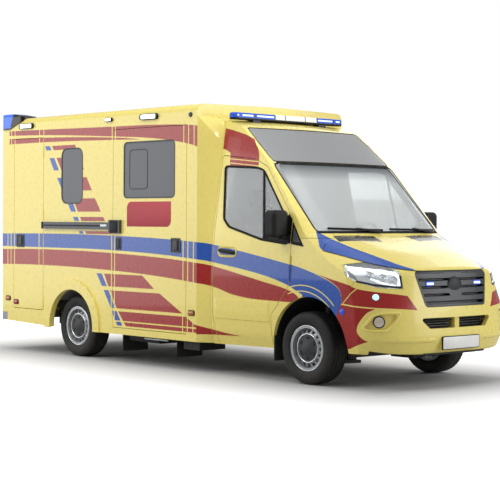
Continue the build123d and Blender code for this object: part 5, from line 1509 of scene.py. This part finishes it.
@dataclass(frozen=True)
class RoofLights:
    """Light bar and the lamps along the roof's edge."""

    bar_half: float = 0.790
    bar_z: float = 2.614
    tray_z: float = 2.572
    windows: tuple = ((-0.154, 0.13), (0.065, 0.27), (0.297, 0.15))
    streaks: tuple = ((-0.745, 0.02), (-0.612, 0.15), (-0.365, 0.24), (0.508, 0.22), (0.700, 0.06))
    window_rings: Pairs = ((0, -0.004), (0, 0.001), (0.003, 0.003))
    tray_rings: Pairs = ((0.004, 0.0), (-0.0015, 0.003), (-0.0015, 0.012), (0.002, 0.014))
    lamps: tuple = ((-2.552, 0.281, 0.062), (-0.962, 0.126, 0.040), (-0.262, 0.295, 0.062))
    lamp_rings: Pairs = ((0, -0.004), (0, 0.001), (0.004, 0.003))
    lamp_place: tuple = (BOX_Y + 0.024, 2.629)

    def bar(self) -> None:
        """Lens windows on the front and back of the bar, and the dark tray under it."""
        low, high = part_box("light_bar")
        for name, spans, tall, finish in (("bar_windows", self.windows, 0.034, BAR_LENS),
                                          ("bar_streaks", self.streaks, 0.016, BLUE_LIT)):
            lights = []
            for sign, x in ((1, high.x), (-1, low.x)):
                face = plane((x, 0, self.bar_z), (0, sign, 0))
                for y, width in spans:
                    lights.append(tile((width, tall), 0.007, self.window_rings, face, (sign * y, 0)))
            make_piece(name, joined(lights), finish)
        base = plane(((low.x + high.x) / 2, 0, self.tray_z), LEFT, (-1, 0, 0))
        size = (2 * self.bar_half - 0.004, high.x - low.x - 0.002)
        make_piece("bar_tray", tile(size, 0.050, self.tray_rings, base), TRIM)

    def build(self) -> None:
        """Makes the bar's pieces and the bright windows of the lamps along the roof's edge."""
        self.bar()
        for side in Side:
            forms = []
            for x, length, height in self.lamps:
                y, z = self.lamp_place
                face = plane((x, side * y, z), (-side, 0, 0))
                forms.append(tile((length * 0.82, height * 0.74), height * 0.2, self.lamp_rings, face))
            make_piece(f"scene_lamp_lights_{side.word}", joined(forms), LAMP_LIT)


@dataclass(frozen=True)
class Rear:
    """Latches, seals, lamps and step of the back."""

    window: tuple = (0.455, 1.930)
    window_size: tuple = (0.530, 0.740)
    latch: tuple = (0.10, 1.20)
    latch_size: tuple = (0.120, 0.150)
    lamp_place: tuple = (BOX_REAR_X - 0.022, 0.900, 0.565)
    lamps: tuple = (("red", 0.036, 0.062, RED_LENS), ("amber", -0.022, 0.044, AMBER_LENS),
                    ("white", -0.057, 0.020, LAMP_WHITE))
    lamp_rings: Pairs = ((0, -0.003), (0, 0.002), (0.003, 0.004))
    rib_half: float = 0.98

    def build(self) -> None:
        """Makes the pieces of the back."""
        back = plane((BOX_REAR_X, 0, 0), (0, -1, 0))
        for side in Side:
            body = f"rear_door_{side.word}"
            mirror = np.array([-side, 1.0])
            line = loop(self.window_size, 0.045, mirror * self.window)
            seal = ribbon(line, bead(0.018, 0.008), back, True)
            make_piece(f"rear_window_seal_{side.word}", seal, SEAL, body)
            names = [f"rear_latch_{part}_{side.word}" for part in ("bezel", "paddle")]
            make_latch(names, back, mirror * self.latch, self.latch_size, body)
            x, y, z = self.lamp_place
            face = plane((x, side * y, z), (0, -1, 0))
            for word, up, tall, finish in self.lamps:
                window = tile((0.184, tall), 0.010, self.lamp_rings, face, (0, up))
                make_piece(f"rear_lamp_{word}_{side.word}", window, finish)
        low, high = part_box("rear_bumper")
        ribs = []
        for x in np.linspace(low.x + 0.012, BOX_REAR_X - 0.006, 3):
            path = np.linspace((x, -self.rib_half, high.z), (x, self.rib_half, high.z), 8)
            ribs.append(tube(path, 0.003, 8))
        make_piece("step_ribs", joined(ribs), STEP_PLATE)


@dataclass(frozen=True)
class CabInside:
    """Seats and the details of the dashboard. Rows give middle, size, lean and squareness of a pad."""

    seat_y: float = 0.43
    seat: tuple = (((-0.94, 0.985), (0.50, 0.48, 0.16), 0.05), ((-1.185, 1.36), (0.15, 0.47, 0.70), -0.10),
                   ((-1.24, 1.765), (0.10, 0.26, 0.18), -0.10))
    plinth: tuple = (-0.98, 0.692)
    details: tuple = (("instrument_hood", (-0.40, 0.42, 1.395), (0.20, 0.40, 0.09), 0.1, 2.6),
                      ("screen_sensor_housing", (-0.565, 0.0, 2.03), (0.06, 0.16, 0.13), 0.4, 3.0))

    @staticmethod
    def cushion(centre: Sequence[float], size: Sequence[float], lean: float, power: float = 3.2) -> Form:
        """Stuffed pad: a superellipsoid sign·|cos|^(2/power), creased by two sewn channels and leaned back.

        Args:
            centre: Middle of the pad, with x from the front axle.
            size: Its length, width and height.
            lean: Turn about the Y axis, in radians.
            power: How square the pad is.

        Returns:
            The closed pad.
        """
        steps = np.linspace(-math.pi / 2, math.pi / 2, 33), np.arange(64) * math.tau / 64
        u, v = np.meshgrid(*steps, indexing="ij")
        waves = (np.cos(u), np.sin(u), np.cos(v), np.sin(v))
        cos_u, sin_u, cos_v, sin_v = (np.sign(t) * np.abs(t) ** (2 / power) for t in waves)
        shape = np.stack([cos_u * cos_v, cos_u * sin_v, sin_u], -1)
        shape[..., 2] *= 1 - 0.10 * np.exp(-(((np.abs(shape[..., 1]) - 0.55) / 0.05) ** 2))
        cos, sin = math.cos(lean), math.sin(lean)
        turn = np.array([[cos, 0, sin], [0, 1, 0], [-sin, 0, cos]])
        spot = np.array((FRONT_AXLE_X + centre[0], *centre[1:]))
        return net((shape * np.array(size) / 2) @ turn.T + spot)

    def build(self) -> None:
        """Makes the seats and the dashboard's details."""
        for side in Side:
            y = side * self.seat_y
            form = joined(self.cushion((x, y, z), size, lean) for (x, z), size, lean in self.seat)
            seat = make_piece(f"seat_{side.word}", form, FABRIC, crease=60.0)
            if side is Side.RIGHT:
                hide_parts("cab_seats")
            floor = plane((FRONT_AXLE_X + self.plinth[0], y, self.plinth[1]), ALONG, LEFT)
            plinth = tile((0.40, 0.36), 0.03, ((0, 0), (0, 0.22)), floor)
            make_piece(f"seat_plinth_{side.word}", plinth, TRIM)
        for name, *shape in self.details:
            make_piece(name, self.cushion(*shape), TRIM)


@dataclass(frozen=True)
class Studio:
    """Pale floor, soft lamps and the camera at the photograph's place."""

    camera_place: tuple = (11.7156, -10.5959, 1.5375)
    camera_turns: tuple = (137.692, -0.958, 0.398)
    focal: float = 1450.98
    middle: tuple = (244.07, 245.38)
    picture: float = 500.0
    sensor: float = 36.0
    far: float = 200.0
    ambient: float = 0.42
    gloss: float = 0.42
    footprint: tuple = (2.9, 0.9)
    veil_slope: float = 0.50
    floor_reach: tuple = (0.0, 3.0, 6.0, 10.0, 20.0, 60.0)
    floor_z: float = -0.0005
    lamps: tuple = (("top", (0.5, -1.0, 6.8), (0.0, 0.0, 0.5), (9.0, 7.0), 190.0, 180.0),
                    ("right", (-1.0, -7.5, 7.0), (-1.0, -1.0, 1.5), (5.0, 3.0), 190.0, 180.0),
                    ("rear_right", (-8.58, -5.98, 2.45), (-2.4, 0.5, 1.5), (4.6, 4.8), 160.0, 180.0),
                    ("side_right", (-5.85, -8.60, 2.85), (0.35, -2.1, 1.9), (3.2, 3.6), 80.0, 180.0),
                    ("front_left", (9.5, 5.5, 4.4), (1.5, 0.0, 1.2), (6.0, 5.0), 430.0, 180.0),
                    ("rear_left", (-4.5, 9.0, 4.8), (2.0, 0.0, 1.2), (10.0, 6.0), 320.0, 180.0),
                    ("brow", (6.0, -2.0, 5.2), (0.6, -1.0, 2.0), (1.2, 1.2), 5.0, 36.0))

    @staticmethod
    def add(name: str, data: bpy.types.ID) -> bpy.types.Object:
        """A new object of the scene."""
        thing = bpy.data.objects.new(name, data)
        bpy.context.scene.collection.objects.link(thing)
        return thing

    def camera(self) -> None:
        """Camera with its axes turned by yaw, pitch and roll, and the picture's middle as a small shift."""
        yaw, pitch, roll = (math.radians(v) for v in self.camera_turns)
        level = Vector((math.cos(yaw), math.sin(yaw), 0))
        side = Vector((math.sin(yaw), -math.cos(yaw), 0))
        forward = level * math.cos(pitch) + Vector((0, 0, math.sin(pitch)))
        up = Vector((0, 0, math.cos(pitch))) - level * math.sin(pitch)
        right, over = side * math.cos(roll) + up * math.sin(roll), up * math.cos(roll) - side * math.sin(roll)
        data = bpy.data.cameras.new("camera")
        data.sensor_width, data.clip_end = self.sensor, self.far
        data.lens = self.focal / self.picture * self.sensor
        data.shift_x = 0.5 - self.middle[0] / self.picture
        data.shift_y = self.middle[1] / self.picture - 0.5
        camera = self.add("camera", data)
        turn = Matrix((right, over, -forward)).transposed().to_4x4()
        camera.matrix_world = Matrix.Translation(self.camera_place) @ turn
        bpy.context.scene.camera = camera

    def lights(self) -> None:
        """Large soft lamps round the vehicle."""
        for name, place, aim, size, power, spread in self.lamps:
            data = bpy.data.lights.new(f"softbox_{name}", "AREA")
            data.shape, data.size, data.size_y, data.energy = "RECTANGLE", size[0], size[1], power
            data.spread = math.radians(spread)
            lamp = self.add(f"softbox_{name}", data)
            lamp.location = place
            lamp.rotation_mode = "QUATERNION"
            lamp.rotation_quaternion = (Vector(aim) - Vector(place)).to_track_quat("-Z", "Y")

    def world(self) -> None:
        """White surroundings for camera and glass, and lower levels for gloss and for the object's light."""
        graph = Graph(bpy.data.worlds.new("studio"), "Background", "OutputWorld")
        seen, clear, glossy = (graph.add("LightPath", {}, f"Is {word} Ray")
                               for word in ("Camera", "Transmission", "Glossy"))
        level = seen | clear | glossy.line(self.gloss - self.ambient, self.ambient)
        graph.set(Color=(1, 1, 1, 1), Strength=level)
        bpy.context.scene.world = graph.owner

    def floor(self) -> None:
        """Round pale floor of rings, brighter for the camera with the distance from the footprint, which
        paints a shadow round the vehicle.
        """
        reach = np.array(self.floor_reach)[:, None]
        cos, sin = circle(64)
        form = net(np.stack([reach * cos, reach * sin, np.full((len(reach), 64), self.floor_z)], -1))
        mesh = bpy.data.meshes.new("floor")
        mesh.from_pydata(form.points.tolist(), [], form.quads.tolist())
        graph = Graph(bpy.data.materials.new("studio_floor"))
        beyond = [(v.math("ABSOLUTE") - half).most(0.0) ** 2.0 for v, half in zip(graph.spot, self.footprint)]
        away = (beyond[0] + beyond[1]).math("SQRT")
        # Camera-only glow, nil at the footprint and rising away from it: a painted shadow round the vehicle.
        painted_shadow_veil = (away * self.veil_slope).least(1.0) * graph.add("LightPath", {}, "Is Camera Ray")
        graph.set(Base_Color=(0.5, 0.5, 0.5, 1), Roughness=0.9)
        graph.set(Emission_Color=(1, 1, 1, 1), Emission_Strength=painted_shadow_veil)
        mesh.materials.append(graph.owner)
        self.add("floor", mesh)

    def build(self) -> None:
        """Sets up the studio."""
        bpy.context.scene.view_settings.view_transform = "Standard"
        self.camera()
        self.lights()
        self.world()
        self.floor()


def main() -> None:
    """Builds the sub-assemblies in order."""
    logging.basicConfig(level=logging.INFO, format="%(name)s %(message)s")
    outside = (Coverings, Underside, Wheels, CabGlass, CabDoors, FrontEnd, BoxSides, RoofLights, Rear)
    for part in (*outside, CabInside, Studio):
        LOG.info("building %s", part.__name__)
        part().build()


if __name__ == "__main__":
    main()
